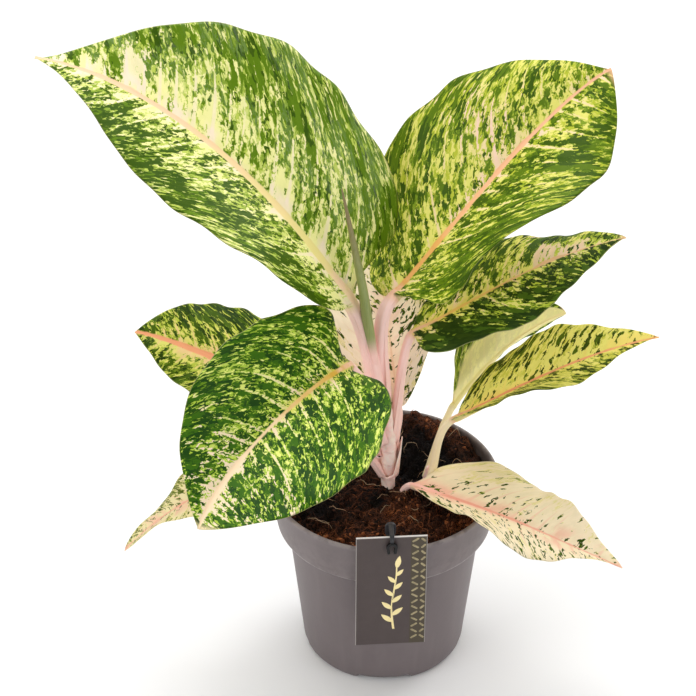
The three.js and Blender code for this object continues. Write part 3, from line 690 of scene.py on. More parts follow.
tufts = fibres(1500, 6, (3, 10), (0.08, 0.18), 0.9, (0.14, 0.66))
straws = fibres(46, 7, (6, 20), (0.08, 0.14), 2.4, (0.86, 1.05))
marks = {"tone": np.concatenate([tufts[2], straws[2]])}
add_piece("coir_fibres", *joined([tufts[:2], straws[:2]]), crumb_finish, "soil", marks=marks)

# %% [markdown]
# ## Stems and the rolled leaf
#
# The stems are short, thick canes, ringed where old leaves fell. A round section carried along a curve makes
# them; rings and knobs are small sums added to the radius. The curve runs through stations, with the usual
# cubic between two of them that takes its slope from their neighbours.

# %% A section carried along a curve
def along_stations(stations, shares):
    """Catmull-Rom: for each share of the way, a cubic of the two stations beside it and their neighbours."""
    stations = np.array(stations, float)
    padded = np.concatenate([[2 * stations[0] - stations[1]], stations, [2 * stations[-1] - stations[-2]]])
    place = np.clip(shares, 0, 1) * (len(stations) - 1)
    low = np.minimum(place.astype(int), len(stations) - 2)
    t = (place - low)[..., None]
    a, b, c, d = (padded[low + step] for step in range(4))
    return 0.5 * (2 * b + (c - a) * t + (2 * a - 5 * b + 4 * c - d) * t**2 + (3 * b - a - 3 * c + d) * t**3)


def tube(centres, radius, angle):
    """Rings round the centres: each point is its centre plus radius times a spoke square to the line.
    radius is a grid of (ring, angle)."""
    along = unit(np.gradient(centres, axis=0))
    second = unit(np.cross(along, (1.0, 0.0, 0.0)))
    first = np.cross(second, along)
    spoke = first[:, None] * np.cos(angle)[..., None] - second[:, None] * np.sin(angle)[..., None]
    return centres[:, None] + radius[..., None] * spoke, pipe(*radius.shape)


# each station: x, y, z, radius
MAIN_STEM = [(2, 0, 72, 3.2), (2, 0, 98, 3.4), (2, 0, 114, 4.2), (2, 0, 126, 3.8), (0, 1, 147, 3.6),
             (-3, 1, 166, 3.2)]
SIDE_STEM = [(21, 6, 74, 2.4), (21.5, 6, 92, 2.3), (23.5, 6, 107, 1.5)]
MAIN_RINGS, SIDE_RINGS = (101.5, 106, 110.5, 116, 124, 133), (97, 101, 105)
CANE_ROWS, CANE_SIDES, RING_RISE = 120, 40, 0.14


def cane(stations, rings):
    """The stem: its radius, plus a thin ridge at each old leaf's ring, plus shallow knobs."""
    path = along_stations(stations, np.linspace(0, 1, CANE_ROWS))
    angle = round_angles(CANE_SIDES)[None, :]
    height = path[:, 2][:, None] + 0.5 * np.sin(angle + 1)
    ridges = sum(RING_RISE * np.exp(-(((height - ring) / 0.6) ** 2)) for ring in rings)
    knobs = 0.18 * np.sin(3 * angle + 0.35 * height) + 0.12 * np.sin(5 * angle - 0.8 * height)
    points, faces = tube(path[:, :3], path[:, 3][:, None] + ridges + knobs, angle)
    return points, faces, np.minimum(ridges / RING_RISE, 1).ravel()


print("rings on the main and the side stem:", len(MAIN_RINGS), len(SIDE_RINGS))

# %% [markdown]
# ### Pink flesh
#
# Stems and stalks are the same watery, pinkish white flesh: glossy, with fine lengthwise lines, clouds of a
# warmer pink, and thin brown scars at the rings. One group makes the flesh colour, and the stems and the
# old sheath use it with their own chips.

# %% The flesh group
FLESH, given, result = new_group(
    "plant_flesh",
    {"Vector": (0.0, 0.0, 0.0), "Pale": (0.9, 0.8, 0.75, 1.0), "Blush": (0.85, 0.6, 0.6, 1.0), "Amount": 0.5},
    ["Color", "Height"])
clouds, _ = mottled(given["Vector"], 0.009, 2.0)
lines = noise(scaled(given["Vector"], (1600, 1600, 60)), 2, 0.6)
tinted = mixed(ramp(clouds, 0.2, 0.8) * given["Amount"], given["Pale"], given["Blush"])
feed(result["Color"], mixed(lines * 0.25, tinted, given["Pale"]))
feed(result["Height"], lines)
print("flesh group", len(FLESH.nodes), "nodes")


def new_flesh(name, roughness, soak, radius, pale, blush):
    """Begins a finish of the flesh group; soak is how much light goes into the skin, and radius how far."""
    finish, shader = new_finish(name, Roughness=roughness, Subsurface_Weight=soak, Subsurface_Radius=radius)
    flesh = use_group(FLESH, Vector=position(), Pale=colour(*pale), Blush=colour(*blush), Amount=0.9)
    return finish, shader, flesh

# %% The stems
stem_finish, shader, flesh = new_flesh(
    "stem_flesh", 0.35, 0.12, (0.004, 0.002, 0.0012), (255, 234, 224), (254, 200, 190))
speckle, _ = mottled(position(), 0.002, 3.0)
scar = attribute("scar") * 0.3 * ramp(speckle, 0.25, 0.7)
foot = ramp(parts(position())[2], 0.1, 0.096) * 0.5
brown = maths("MAXIMUM", scar, foot * speckle)
coat(shader, mixed(brown, flesh["Color"], colour(176, 124, 92)), between(brown, 0.34, 0.7),
     flesh["Height"], 0.00015, 0.6)
for name, stations, rings in (("main", MAIN_STEM, MAIN_RINGS), ("side", SIDE_STEM, SIDE_RINGS)):
    points, faces, scars = cane(stations, rings)
    add_piece(f"{name}_cane", points, faces, stem_finish, "stem_flesh", [f"{name}_stem"], {"scar": scars})

# %% [markdown]
# ### The rolled leaf and the old sheath
#
# The newest leaf stands rolled like a paper cone: one margin overlaps the other in a seam that winds up it.
# So its section is a spiral with one small step, and the step's angle grows with height. The old sheath is a
# thin collar, high at its right and torn low in front.

# %% The rolled leaf
NEW_LEAF = [(-4, 0, 168, 1.1), (-6, -2, 184, 2.1), (-9, -2, 205, 2.6), (-12, -1, 226, 2.4),
            (-17, 3, 252, 1.5), (-22, 8, 277, 0.35)]
ROLL_ROWS, ROLL_SIDES = 150, 45
path = along_stations(NEW_LEAF, np.linspace(0, 1, ROLL_ROWS))
turn = np.concatenate([np.linspace(0, 1, ROLL_SIDES - 1, endpoint=False), [0.985]])[None, :]
share = np.linspace(0, 1, ROLL_ROWS)[:, None]
behind = (turn - (0.15 + 0.75 * share)) % 1
# the spiral: the radius falls by an eighth in one turn round, then steps back up within the seam
spiral = 1.04 - 0.13 * smooth(behind, 0.02, 1.0) + 0.05 * np.exp(-((behind / 0.04) ** 2))
radius = path[:, 3][:, None] * spiral * (1 + 0.03 * np.sin(9 * share + TURN * turn))
points, faces = tube(path[:, :3], radius, TURN * turn)
marks = {"share": np.repeat(share, ROLL_SIDES), "seam": np.exp(-((behind / 0.05) ** 2)).ravel()}

roll_finish, shader = new_finish("rolled_leaf", Specular_IOR_Level=0.45)
where, height = position(), attribute("share")
lines = noise(scaled(where, (1400, 1400, 70)), 3, 0.6)
green = mixed(lines, colour(118, 138, 74), colour(176, 182, 116))
clouds, _ = mottled(where, 0.006, 2.0)
green = mixed(clouds * 0.4, green, colour(150, 150, 92))
brown = mixed(lines, colour(104, 88, 56), colour(164, 146, 108))
green = mixed(ramp(height, 0.55, 0.95), green, brown)
green = mixed(ramp(height, 0.34, 0.2), green, colour(250, 206, 196))
# painted shade: darker along the seam, under the overlapping margin
green = mixed(attribute("seam") * ramp(height, 0.2, 0.5) * 0.5, green, colour(84, 82, 50))
coat(shader, green, between(lines, 0.36, 0.55), lines, 0.0002, 0.8)
add_piece("rolled_leaf", points, faces, roll_finish, "new_leaf_flesh", ["new_leaf"], marks)

# %% The old sheath
SHEATH_SIDES, SHEATH_FOOT, SHEATH_RADIUS, SHEATH_WALL = 96, 108, 4.6, 0.9
# round the wall's section: how far across the wall, and how far up it
SECTION = [(0, 0), (0, 0.25), (0, 0.5), (0, 0.75), (0.15, 1), (0.85, 1), (1, 0.75), (1, 0.5), (1, 0.25),
           (1, 0)]
turn = round_angles(SHEATH_SIDES)[:, None]
across, share = np.array(SECTION).T[:, None, :]
right = np.sin(turn)
# height round the collar: a wide notch in front, and on the right a tongue, a power of the way there
notch = 4.2 * np.exp(-(((turn + np.pi) % TURN - np.pi) / 0.9) ** 4)
torn = 5 + 18 * np.maximum(right, 0) ** 3 + 4 * np.maximum(-right, 0) ** 2 + 0.5 * np.sin(9 * turn) - notch
wall = SHEATH_WALL * (1 - 0.55 * share) * across
radius = SHEATH_RADIUS + 2.2 * share * right**2 + wall + 0.06 * np.sin(14 * turn) * share
points = np.stack([2 + right * radius, -np.cos(turn) * radius, SHEATH_FOOT + share * torn], -1)
count = SHEATH_SIDES * len(SECTION)
faces = [[number % count for number in face] for face in quads(SHEATH_SIDES + 1, len(SECTION), True)]

sheath_finish, shader, flesh = new_flesh(
    "old_sheath_skin", 0.5, 0.1, (0.003, 0.0015, 0.001), (255, 230, 220), (252, 194, 182))
dry = attribute("tip") * flesh["Height"]
coat(shader, mixed(dry, flesh["Color"], colour(255, 240, 230)), between(dry, 0.4, 0.75),
     flesh["Height"], 0.0002, 0.8)
marks = {"tip": (share**3 + 0 * turn).ravel()}
add_piece("torn_sheath", points, faces, sheath_finish, "sheath_flesh", ["old_sheath"], marks)

# %% [markdown]
# ## The leaves
#
# A leaf is one body from sheath to tip. Its section starts as a thick, grooved stalk, spreads into two thin
# wings at the blade, and keeps a ridge, the midrib, on its underside. So the whole leaf is one closed section
# carried along one line, first up the stalk's curve and then along the midrib, and nothing is joined on.
# The table says where each midrib runs and how each half is cut, folded, curled, lobed and waved. In these
# pairs, the first value is for the half at the left of the midrib, as seen from the stalk. A wave is its
# height, its count, and a phase for each half. Other pairs go from the start to the end: roll in degrees, the
# stalk's half thickness, and bow, how far its curve pulls. hug is how much the sheath spreads at the foot.

# %% Leaves: the table
LEAVES = {
    "high_left": dict(
        rib=[(-18, 2, 214.2), (-59.1, 10, 271.8), (-111.6, 25, 313.4), (-171, 40, 332.1)],
        half=(56.2, 66.1), widest=(0.45, 0.38), base=(0.55, 0.26), tip=(1.09, 1.34), fold=(16, 29),
        curl=(0.17, -0.05), lobe=(0, 0), roll=(10, 8), wave=(5.3, 1.3, -0.06, 0.36),
        root=(-4, 1, 156), stalk=(5.4, 4), rise=(-0.1, 0, 1), bow=(0.35, 0.3)),
    "high_right": dict(
        rib=[(3.9, 12, 210.7), (31.5, 30, 238.1), (71.6, 45, 283.7), (110.8, 55, 317.3)],
        half=(57.4, 58.5), widest=(0.61, 0.56), base=(0.4, 0.38), tip=(1.3, 0.72), fold=(32, 10),
        curl=(0.12, 0.15), lobe=(0.01, 0.05), roll=(30, -29), wave=(10.6, 1.2, 0.78, 0.68),
        root=(-1, 3, 154), stalk=(4.2, 3.3), rise=(0, 0.1, 1), bow=(0.35, 0.3)),
    "mid_right": dict(
        rib=[(14.3, 10, 189.8), (52, 14, 212.2), (83.4, 18, 228.1), (119.8, 20, 240.9)],
        half=(29.9, 30.5), widest=(0.38, 0.61), base=(0.58, 0.26), tip=(0.7, 1.44), fold=(11, 9),
        curl=(0.2, 0.2), lobe=(0, 0), roll=(-21, 2), wave=(2.6, 2.1, 0.24, 0.81),
        root=(4, 2, 128), stalk=(2.8, 2.2), rise=(0.15, 0.08, 1), bow=(0.3, 0.12)),
    "side_back": dict(
        rib=[(35.7, 22, 134.7), (51.8, 35, 149), (71.5, 44, 163.9), (94.7, 49, 174.8)],
        half=(9, 29), widest=(0.38, 0.38), base=(0.5, 0.93), tip=(0.48, 0.59), fold=(48, -4),
        curl=(0.1, 0.11), lobe=(0, 0), roll=(98, 102), wave=(2.1, 2, 0.14, 0.49),
        root=(22, 8, 99), stalk=(2.1, 1.8), rise=(0.3, 0.05, 1), bow=(0.3, 0.2), hug=0.15),
    "side_front": dict(
        rib=[(36.2, 4, 140.2), (66.6, 6, 157.2), (100.3, 8, 174.3), (138.5, 8, 188.5)],
        half=(29.4, 26.5), widest=(0.37, 0.57), base=(0.61, 0.74), tip=(0.92, 1.74), fold=(23, 21),
        curl=(0.05, 0.1), lobe=(0, 0.05), roll=(24, -16), wave=(1.8, 2, 1.03, 0.47),
        root=(24, 4, 101), stalk=(2, 1.9), rise=(0.3, 0, 1), bow=(0.3, 0.3), hug=0.15),
    "low_right": dict(
        rib=[(14.4, -7, 104.8), (57.6, -33, 106.4), (83.9, -45, 101.8), (120.8, -52, 86.8)],
        half=(27.9, 28), widest=(0.28, 0.47), base=(0.32, 0.78), tip=(0.74, 1.54), fold=(25, 20),
        curl=(0.03, 0.1), lobe=(0, 0), roll=(10, -12), wave=(4.2, 1.6, 0.04, 0.72),
        root=(8, -3, 88), stalk=(2, 1.7), rise=(0, 0, 1), bow=(0.5, 0.2)),
    "front": dict(
        rib=[(-18.7, -20, 191), (-42.6, -62, 200.9), (-69.9, -103, 195.5), (-88.5, -139, 183.4)],
        half=(51.3, 46.5), widest=(0.48, 0.51), base=(0.54, 0.26), tip=(0.62, 1), fold=(23, 26),
        curl=(-0.01, 0), lobe=(0.09, 0.02), roll=(40, 24), wave=(3.2, 2, 0.19, 0.28),
        root=(-3, -4, 130), stalk=(3, 2.6), rise=(-0.15, -0.2, 1), bow=(0.5, 0.1)),
    "mid_left": dict(
        rib=[(-40.9, 4, 155.2), (-71.5, 8, 167.2), (-102, 10, 181.1), (-127, 10, 190.3)],
        half=(29.3, 36.2), widest=(0.42, 0.43), base=(0.5, 0.5), tip=(0.95, 1.03), fold=(9, 14),
        curl=(0.22, 0.12), lobe=(0.03, 0.03), roll=(11, 20), wave=(1.3, 2.2, 0.13, 0.49),
        root=(-2, 1, 120), stalk=(2.4, 1.9), rise=(-0.4, 0, 1), bow=(0.4, 0.35)),
    "low_left": dict(
        rib=[(-28.4, -10, 137), (-65.3, -20, 125.2), (-100.4, -32, 114.4), (-133.6, -40, 88.2)],
        half=(15.7, 18.1), widest=(0.4, 0.39), base=(0.5, 0.5), tip=(0.81, 0.62), fold=(17, 17),
        curl=(0.17, 0.14), lobe=(0.03, 0.03), roll=(0, -3), wave=(3.7, 2.3, 0.3, 0.86),
        root=(-1, -2, 108), stalk=(2.2, 1.6), rise=(-0.5, -0.1, 1), bow=(0.5, 0.3)),
    "back": dict(
        rib=[(7, 9, 143), (3, 22, 171), (-1, 40, 194), (-6, 60, 216)],
        half=(35, 23), widest=(0.45, 0.5), base=(0.6, 0.75), tip=(0.8, 0.8), fold=(12, 25),
        curl=(0.15, 0.05), lobe=(0.02, 0.02), roll=(0, 0), wave=(1.5, 2, 0.2, 0.5),
        root=(3, 4, 116), stalk=(2.6, 2), rise=(0.1, 0.15, 1), bow=(0.35, 0.3)),
}
print("leaves:", *LEAVES)

# %% [markdown]
# ### The blade's own directions
#
# Everything on a blade is said in its own terms: how far along the midrib, and how far across from it. The
# midrib is the cubic through four points. At each place on it there are three directions: along, across and
# up, and roll turns the last two. The base of a half can reach back past the stalk, which is what makes a
# heart shape, so places a little before the midrib's start have directions too.

# %% Leaves: lines and directions
UP = np.array([0.0, 0.0, 1.0])


def through_four(points, share):
    """The cubic that meets four points at shares 0, 1/3, 2/3 and 1: a weight for each, all summed."""
    a, b, c, d = share, share - 1 / 3, share - 2 / 3, share - 1
    weights = np.stack([-4.5 * b * c * d, 13.5 * a * c * d, -13.5 * a * b * d, 4.5 * a * b * c], -1)
    return weights @ np.array(points, float)


def blade_frame(leaf, share):
    """Point, along, across and up at a share of the midrib; before its start the line runs on straight."""
    inside = np.clip(share, 0, 1)
    ahead, behind = np.minimum(inside + 0.001, 1), np.maximum(inside - 0.001, 0)
    along = unit(through_four(leaf["rib"], ahead) - through_four(leaf["rib"], behind))
    level = unit(np.cross(along, UP))
    steep = np.cross(level, along)
    roll = np.radians(leaf["roll"][0] + (leaf["roll"][1] - leaf["roll"][0]) * share)[..., None]
    across = level * np.cos(roll) + steep * np.sin(roll)
    up = steep * np.cos(roll) - level * np.sin(roll)
    length = np.linalg.norm(np.subtract(leaf["rib"][3], leaf["rib"][0]))
    point = through_four(leaf["rib"], inside) + along * (np.minimum(share, 0) * length)[..., None]
    return point, along, across, up


def bezier(a, b, c, d, t):
    """The curve that leaves a towards b and reaches d from c."""
    t = t[..., None]
    return a * (1 - t) ** 3 + 3 * b * t * (1 - t) ** 2 + 3 * c * t**2 * (1 - t) + d * t**3


def outline(share, widest, base, tip):
    """Half width as a share of the greatest: a sine's power up to the widest place, a cosine's after it."""
    below = np.sin(np.pi / 2 * np.clip(share / widest, 0, 1)) ** base
    above = np.cos(np.pi / 2 * np.clip((share - widest) / (1 - widest), 0, 1)) ** tip
    return np.where(share < widest, below, above)


print("the front midrib halfway:", through_four(LEAVES["front"]["rib"], np.array(0.5)).round(1))

# %% Leaves: the grid
STALK_ROWS, BLADE_ROWS, COLUMNS = 44, 150, 72
HUG = 0.5  # how much a sheath spreads at its foot, where the table says nothing else


def leaf_grid(leaf, phase):
    """Fields over a leaf's grid. Rows run from the stalk's foot, t = -1, over the join, t = 0, to the tip,
    t = 1. Across a row, x is the distance from the midrib, out its share of the half width, and u the same
    with a sign. core is the half width of the round stalk or ridge, and width that of the whole section."""
    k = np.linspace(0, 1, BLADE_ROWS + 1)
    blade_share = 0.55 * (1 - np.cos(np.pi * k)) / 2 + 0.45 * k
    t = np.concatenate([np.linspace(-1, 0, STALK_ROWS, endpoint=False), blade_share])[:, None]
    c = np.linspace(-1, 1, COLUMNS + 1)[None, :]
    g = SimpleNamespace(t=t, on_stalk=np.clip(1 + t, 0, 1), share=np.maximum(t, 0))
    g.side = np.where(c < 0, 0, 1)
    g.pick = lambda name: np.asarray(leaf[name], float)[g.side]
    g.thick, g.thin = leaf["stalk"]
    g.length = np.linalg.norm(np.subtract(leaf["rib"][3], leaf["rib"][0]))

    g.radius = g.thick + (g.thin - g.thick) * g.on_stalk
    g.core = np.where(t < 0, g.radius, g.thin * (1 - 0.75 * g.share))
    g.clasp = np.clip(1 - 1.6 * g.on_stalk, 0, 1)
    cut = g.pick("half") * outline(g.share, g.pick("widest"), g.pick("base"), g.pick("tip"))
    cut = cut * (1 + 0.012 * np.sin(TURN * (6.3 * g.share + phase)) * smooth(g.share, 0.05, 0.2))
    spread = 1.05 + leaf.get("hug", HUG) * g.clasp
    g.width = np.where(t < 0, g.core * spread, np.maximum(cut, g.core * 1.05))
    near, far = np.minimum(1.4 * g.core, 0.5 * g.width), (np.abs(c) - 0.25) / 0.75
    g.x = np.where(np.abs(c) < 0.25, near * np.abs(c) / 0.25, near + (g.width - near) * far)
    g.out, g.sign = g.x / g.width, np.sign(c)
    g.u = g.out * g.sign
    # the fold and the lobes start only where the blade has begun, and waves fade at both of its ends
    g.begun = 1 - np.exp(-((g.share / 0.02) ** 2))
    g.fade = np.clip(np.minimum(4 * g.share, 4 * (1 - g.share)), 0, 1)
    g.fold, g.curl = np.radians(g.pick("fold")), g.pick("curl")
    return g


grid = leaf_grid(LEAVES["front"], 0.0)
print("a leaf's grid:", grid.x.shape, "widest", round(float(grid.width.max()), 1), "mm from the midrib")

# %% Leaves: the stalk's line
def stalk_frame(leaf, on_stalk):
    """The stalk's line from root to midrib, its side and up directions, and how far it reaches. The side
    turns from level to the blade's own as the cube of the way."""
    root, foot = np.array(leaf["root"], float), np.array(leaf["rib"][0], float)
    _, along0, across0, _ = blade_frame(leaf, np.array(0.0))
    reach = np.linalg.norm(foot - root)
    rise = unit(np.array(leaf["rise"], float))
    knots = (root, root + rise * reach * leaf["bow"][0], foot - along0 * reach * leaf["bow"][1], foot)
    stem = bezier(*knots, on_stalk[:, 0])
    heading = unit(np.gradient(stem[:STALK_ROWS + 1], axis=0))
    heading = np.concatenate([heading, np.repeat(heading[-1:], BLADE_ROWS, 0)])
    outward = through_four(leaf["rib"], np.array(0.3)) - foot
    level = np.cross(unit(outward * (1, 1, 0)), UP)
    side = unit(level * (1 - on_stalk**3) + across0 * on_stalk**3)
    return stem, side, unit(np.cross(side, heading)), reach


print("the front stalk spans", round(float(stalk_frame(LEAVES["front"], grid.on_stalk)[3]), 1), "mm")

# %% Leaves: the lift and the skins
VEIN_GAP, RIPPLE, WALL_HALF = 9.5, 0.55, 0.38


def side_veins(g, phase, reach):
    """q, which stays the same along a side vein, and the vein's number. The veins leave the midrib forwards
    and curve on towards the tip."""
    most = np.maximum(g.pick("half"), 20)
    forwards = 0.6 * g.x + 0.65 * g.x**3 / most**2
    q = g.length * g.share - forwards * (1 - 0.3 * g.share) + np.minimum(g.t, 0) * reach
    return q, q / VEIN_GAP + 0.12 * np.sin(q / 7 + phase) + 0.3 * g.side


def blade_lift(leaf, g, phase, vein_number):
    """The rise of the middle skin: width (sin(fold) |u| - curl u^2), plus the margin's wave, plus a low
    ripple between the side veins. A small round-off keeps the fold soft at the midrib."""
    height, count, *phases = leaf["wave"]
    wave = height * np.sin(TURN * (count * g.share + np.array(phases)[g.side])) * g.out**2 * g.fade
    wave = wave + 0.5 * np.sin(TURN * (7.7 * g.share + phase + 0.3 * g.side)) * g.out**4 * g.fade
    soft = 0.6 * g.core / g.width
    bent = np.sqrt(g.out**2 + soft**2) - soft
    small_half = np.minimum(1, np.maximum(g.pick("half"), 20) / 40)
    depth = RIPPLE * smooth(g.out, 0, 0.12) * smooth(1 - g.out, 0.0, 0.5) * g.fade * small_half
    ripple = depth * (np.abs(np.sin(np.pi * vein_number)) ** 0.6 - 0.7)
    return g.width * (np.sin(g.fold) * bent - g.curl * g.out**2) * g.begun + wave + ripple


def skins(g):
    """How far the two skins stand from the middle: a thin wall, plus a round core that is the stalk and fades
    into the ridge. On the stalk, the upper one has a groove, and both bend up where the sheath clasps."""
    x, core, share, radius = g.x, g.core, g.share, g.radius
    wall = WALL_HALF * np.sqrt(np.clip(1 - g.out**8, 0, 1)) * smooth(g.width, 0, 3)
    round_core = np.sqrt(np.clip(1 - (x / core) ** 2, 0, 1))
    fading = np.exp(-((share / 0.05) ** 2))
    groove = 0.225 * g.on_stalk * smooth(core - x, 0, 0.8 * core) * radius
    above = wall + 0.9 * radius * round_core * fading - groove * fading
    above = above + 0.35 * (1 - share) * np.exp(-((x / (0.55 * core)) ** 2)) * (1 - fading)
    depth = np.where(g.t < 0, 0.9 * radius, g.thin * 0.9 * (1 - share) ** 1.5 + 0.3)
    below = -wall - depth * round_core * (1 - 0.4 * smooth(share, 0.5, 1))
    embrace = 0.9 * np.maximum(x - core, 0) ** 1.2 * (g.t < 0) * np.sqrt(g.clasp)
    return above + embrace, below + embrace


print("the front leaf is thickest with", round(float(np.subtract(*skins(grid)).max()), 1), "mm")

# %% Leaves: the surface
def both_skins(upper, lower):
    """The upper skin from margin to margin, and the lower one back again, as one closed section."""
    return np.concatenate([upper, lower[:, -2:0:-1]], 1)


def leaf_faces(rows):
    """The quads round the closed section, and strips from skin to skin over both ends."""
    columns = 2 * COLUMNS
    faces = quads(rows, columns, True)
    for first in (0, (rows - 1) * columns):
        last = first + columns
        faces += [[first, first + 1, last - 1]]
        faces += [[first + a, first + a + 1, last - a - 1, last - a] for a in range(1, COLUMNS - 1)]
        faces += [[first + COLUMNS - 1, first + COLUMNS, first + COLUMNS + 1]]
    return faces


def leaf_surface(leaf, phase):
    """Points of a whole leaf, its faces, and its marks. A point is its line's point, plus the way across,
    which the fold shortens by its cosine, plus the lift and the skin's distance along up."""
    g = leaf_grid(leaf, phase)
    stem, stalk_side, stalk_up, reach = stalk_frame(leaf, g.on_stalk)
    q, vein_number = side_veins(g, phase, reach)
    lift = blade_lift(leaf, g, phase, vein_number)
    above, below = skins(g)
    lobe = g.pick("lobe") * g.out**1.5 * np.exp(-((g.share / 0.16) ** 2)) * g.begun
    centre, _, across, _ = blade_frame(leaf, g.share - lobe)
    up = blade_frame(leaf, g.share + 0 * g.out)[3]
    on_blade = (g.t >= 0)[..., None]
    level_out = g.width * g.u * (1 + (np.cos(g.fold) * (1 - 0.25 * g.curl * g.out) - 1) * g.begun)
    side = np.where(on_blade, across, stalk_side[:, None])
    spine = np.where(on_blade, centre, stem[:, None]) + side * level_out[..., None]
    up = np.where(on_blade, up, stalk_up[:, None])
    ring = both_skins(spine + up * (lift + above)[..., None], spine + up * (lift + below)[..., None])

    # marks: centimetres across and along the veins, the place on the leaf, and the skin
    full = 0 * g.out
    upper = both_skins(full + 1, full)
    upper[:, [0, COLUMNS]] = 0.8
    twice = lambda *layers: np.stack([both_skins(layer + full, layer + full) for layer in layers], -1)
    margin = (1 - g.out) * g.width * 0.1
    marks = {"veins": twice(0.1 * q, 0.1 * g.x * g.sign, full), "place": twice(g.t, g.out, 0.1 * g.x),
             "skin": np.concatenate([upper[..., None], twice(margin, vein_number)], -1)}
    marks = {name: mark.reshape(-1, 3) for name, mark in marks.items()}
    return ring.reshape(-1, 3), leaf_faces(len(ring)), marks


print("a leaf has", len(leaf_faces(len(grid.t))), "faces")

# %% [markdown]
# ### Flecked leaves
#
# A variegated leaf is a mosaic: small blocks of tissue, each dark green, mid green, lime or cream, with sharp
# edges between. Near the midrib most blocks are pale, and pale fingers run out along the side veins. So the
# pattern is painted in vein coordinates, in centimetres, with Voronoi cells of three sizes. A cell's random
# number is added to smooth fields: how pale the leaf is, how near the midrib lies, which half it is, where a
# finger reaches. Thresholds on the sum choose the tissue. The underside is paler and matt. A paint holds a
# leaf's measures and chips, and they are the group's inputs.

# %% Leaves: the paint's measures
def paint(base, values, **chart):
    """A base paint with some values changed, and with chips as on a colour chart, from 0 to 255."""
    return {**base, **values, **{name: colour(*chip) for name, chip in chart.items()}}


GREEN = paint({}, dict(
    Seed=0.0, Pale=-0.05, Tilt=0.0, Inward=0.12, Coarse=0.4, Fine=0.46, Streaks=0.25, Specks=0.5,
    Flecks=0.0, Fleck_tilt=0.0, Feather=0.25, Skew=0.0, Fingers=0.8, Blotch_at=0.6, Blotch=0.0,
    Blotch_length=0.1, Blotch_side=0.0, Lines=0.12, Shade=0.0, Strip=0.0, Shine=0.0, Rib_width=0.15,
    Cells=(1.0, 1.0, 1.0)),
    Deep=(52, 84, 0), Leaf=(84, 116, 6), Moss=(128, 154, 34), Lime=(186, 202, 72), Cream=(236, 238, 144),
    Blush=(250, 222, 184), Glow=(228, 206, 92), Rib_base=(226, 156, 90), Rib_tip=(244, 198, 168),
    Stalk=(255, 206, 196), Under=(214, 212, 140))
MARKS = {mark: (0.0, 0.0, 0.0) for mark in ("Veins", "Place", "Skin")}
MEASURES = {name.replace("_", " "): value for name, value in {**MARKS, **GREEN}.items()}
FLECKS, given, result = new_group("flecked_leaf", MEASURES, ["Color", "Roughness", "Height", "Shine"])


def blocks(vector):
    """Voronoi cells: three random numbers of each, and the distance from its middle."""
    found = fields(add_node("TexVoronoi", {"Vector": vector, "Scale": 1.0}, feature="F1"))
    return [*parts(found["Color"], "Color"), found["Distance"]]


def centred(field, weight):
    """A field of 0 to 1, less its middle, times a weight."""
    return (field - 0.5) * weight


along, out, x = parts(given["Place"])
is_upper, margin, vein_number = parts(given["Skin"])
side = ramp(parts(given["Veins"])[1], -0.02, 0.02)
halves = side * 2 - 1
top = ramp(is_upper, 0.3, 0.7)
print("measures of a paint:", len(MEASURES))

# %% Leaves: cells and clouds in vein coordinates
shift = add_node("CombineXYZ", {0: given["Seed"], 1: given["Seed"] * 1.7})
moved = scaled(given["Veins"], (1, 1, 1), Field(shift.outputs[0]))
wander = noise(scaled(moved, (4.5, 4.0, 1)), 3, 0.5, output="Color", noise_dimensions="2D")
veins = scaled(wander, (0.4, 0.4, 0.0), moved)
cells = scaled(veins, given["Cells"])
coarse = blocks(scaled(cells, (1.8, 1.1, 1)))
small = blocks(scaled(cells, (5.0, 4.2, 1), (3.1, 1.7, 0)))
long = blocks(scaled(cells, (4.6, 2.6, 1), (8.3, 4.9, 0)))
streak = noise(scaled(cells, (3.2, 1.1, 1)), 2, 0.5)
patch = noise(scaled(veins, (0.6, 0.4, 1), (7.3, 2.9, 0)), 2, 0.5)
finger = noise(scaled(veins, (1.7, 0.14, 1), (1.9, 5.3, 0)), 2, 0.6)
sappy = noise(scaled(veins, (2.2, 1.4, 1), (4.7, 8.1, 0)), 3, 0.6)
cross = noise(scaled(veins, (14, 3, 1)), 2, 0.6)
pores = noise(scaled(veins, (38, 30, 1)), 1, 0.5)

# how far the pale feather beside the midrib reaches, in centimetres
away = maths("ABSOLUTE", along - given["Blotch at"])
ends = ramp(maths("DIVIDE", away, given["Blotch length"]), 1.0, 0.3)
blotch = ends * given["Blotch"] * (halves * given["Blotch side"] + 1)
reach = given["Feather"] + blotch + centred(side, given["Skew"]) + centred(finger, given["Fingers"] * 6)
reach = (reach + centred(coarse[1], 0.6) + centred(long[1], 0.4)) * ramp(along, 1.02, 0.75)
feather = ramp(reach - x, -0.02, 0.04)

# thin pale lines on the side veins, round specks, and dark flecks on the pale leaves
between_veins = maths("PINGPONG", vein_number, 0.5)
line = ramp(out * 0.12 + between_veins, 0.16, 0.08) * ramp(out, 0.95, 0.4) * ramp(finger, 0.4, 0.52)
speck = ramp(small[1] * given["Specks"] - small[3], -0.03, 0.03)
density = halves * given["Fleck tilt"] * ramp(out, 0.1, 0.8) + given["Flecks"]
fleck = ramp(long[0] + density, 0.94, 1.0)
print("cells and clouds:", len(FLECKS.nodes), "nodes")

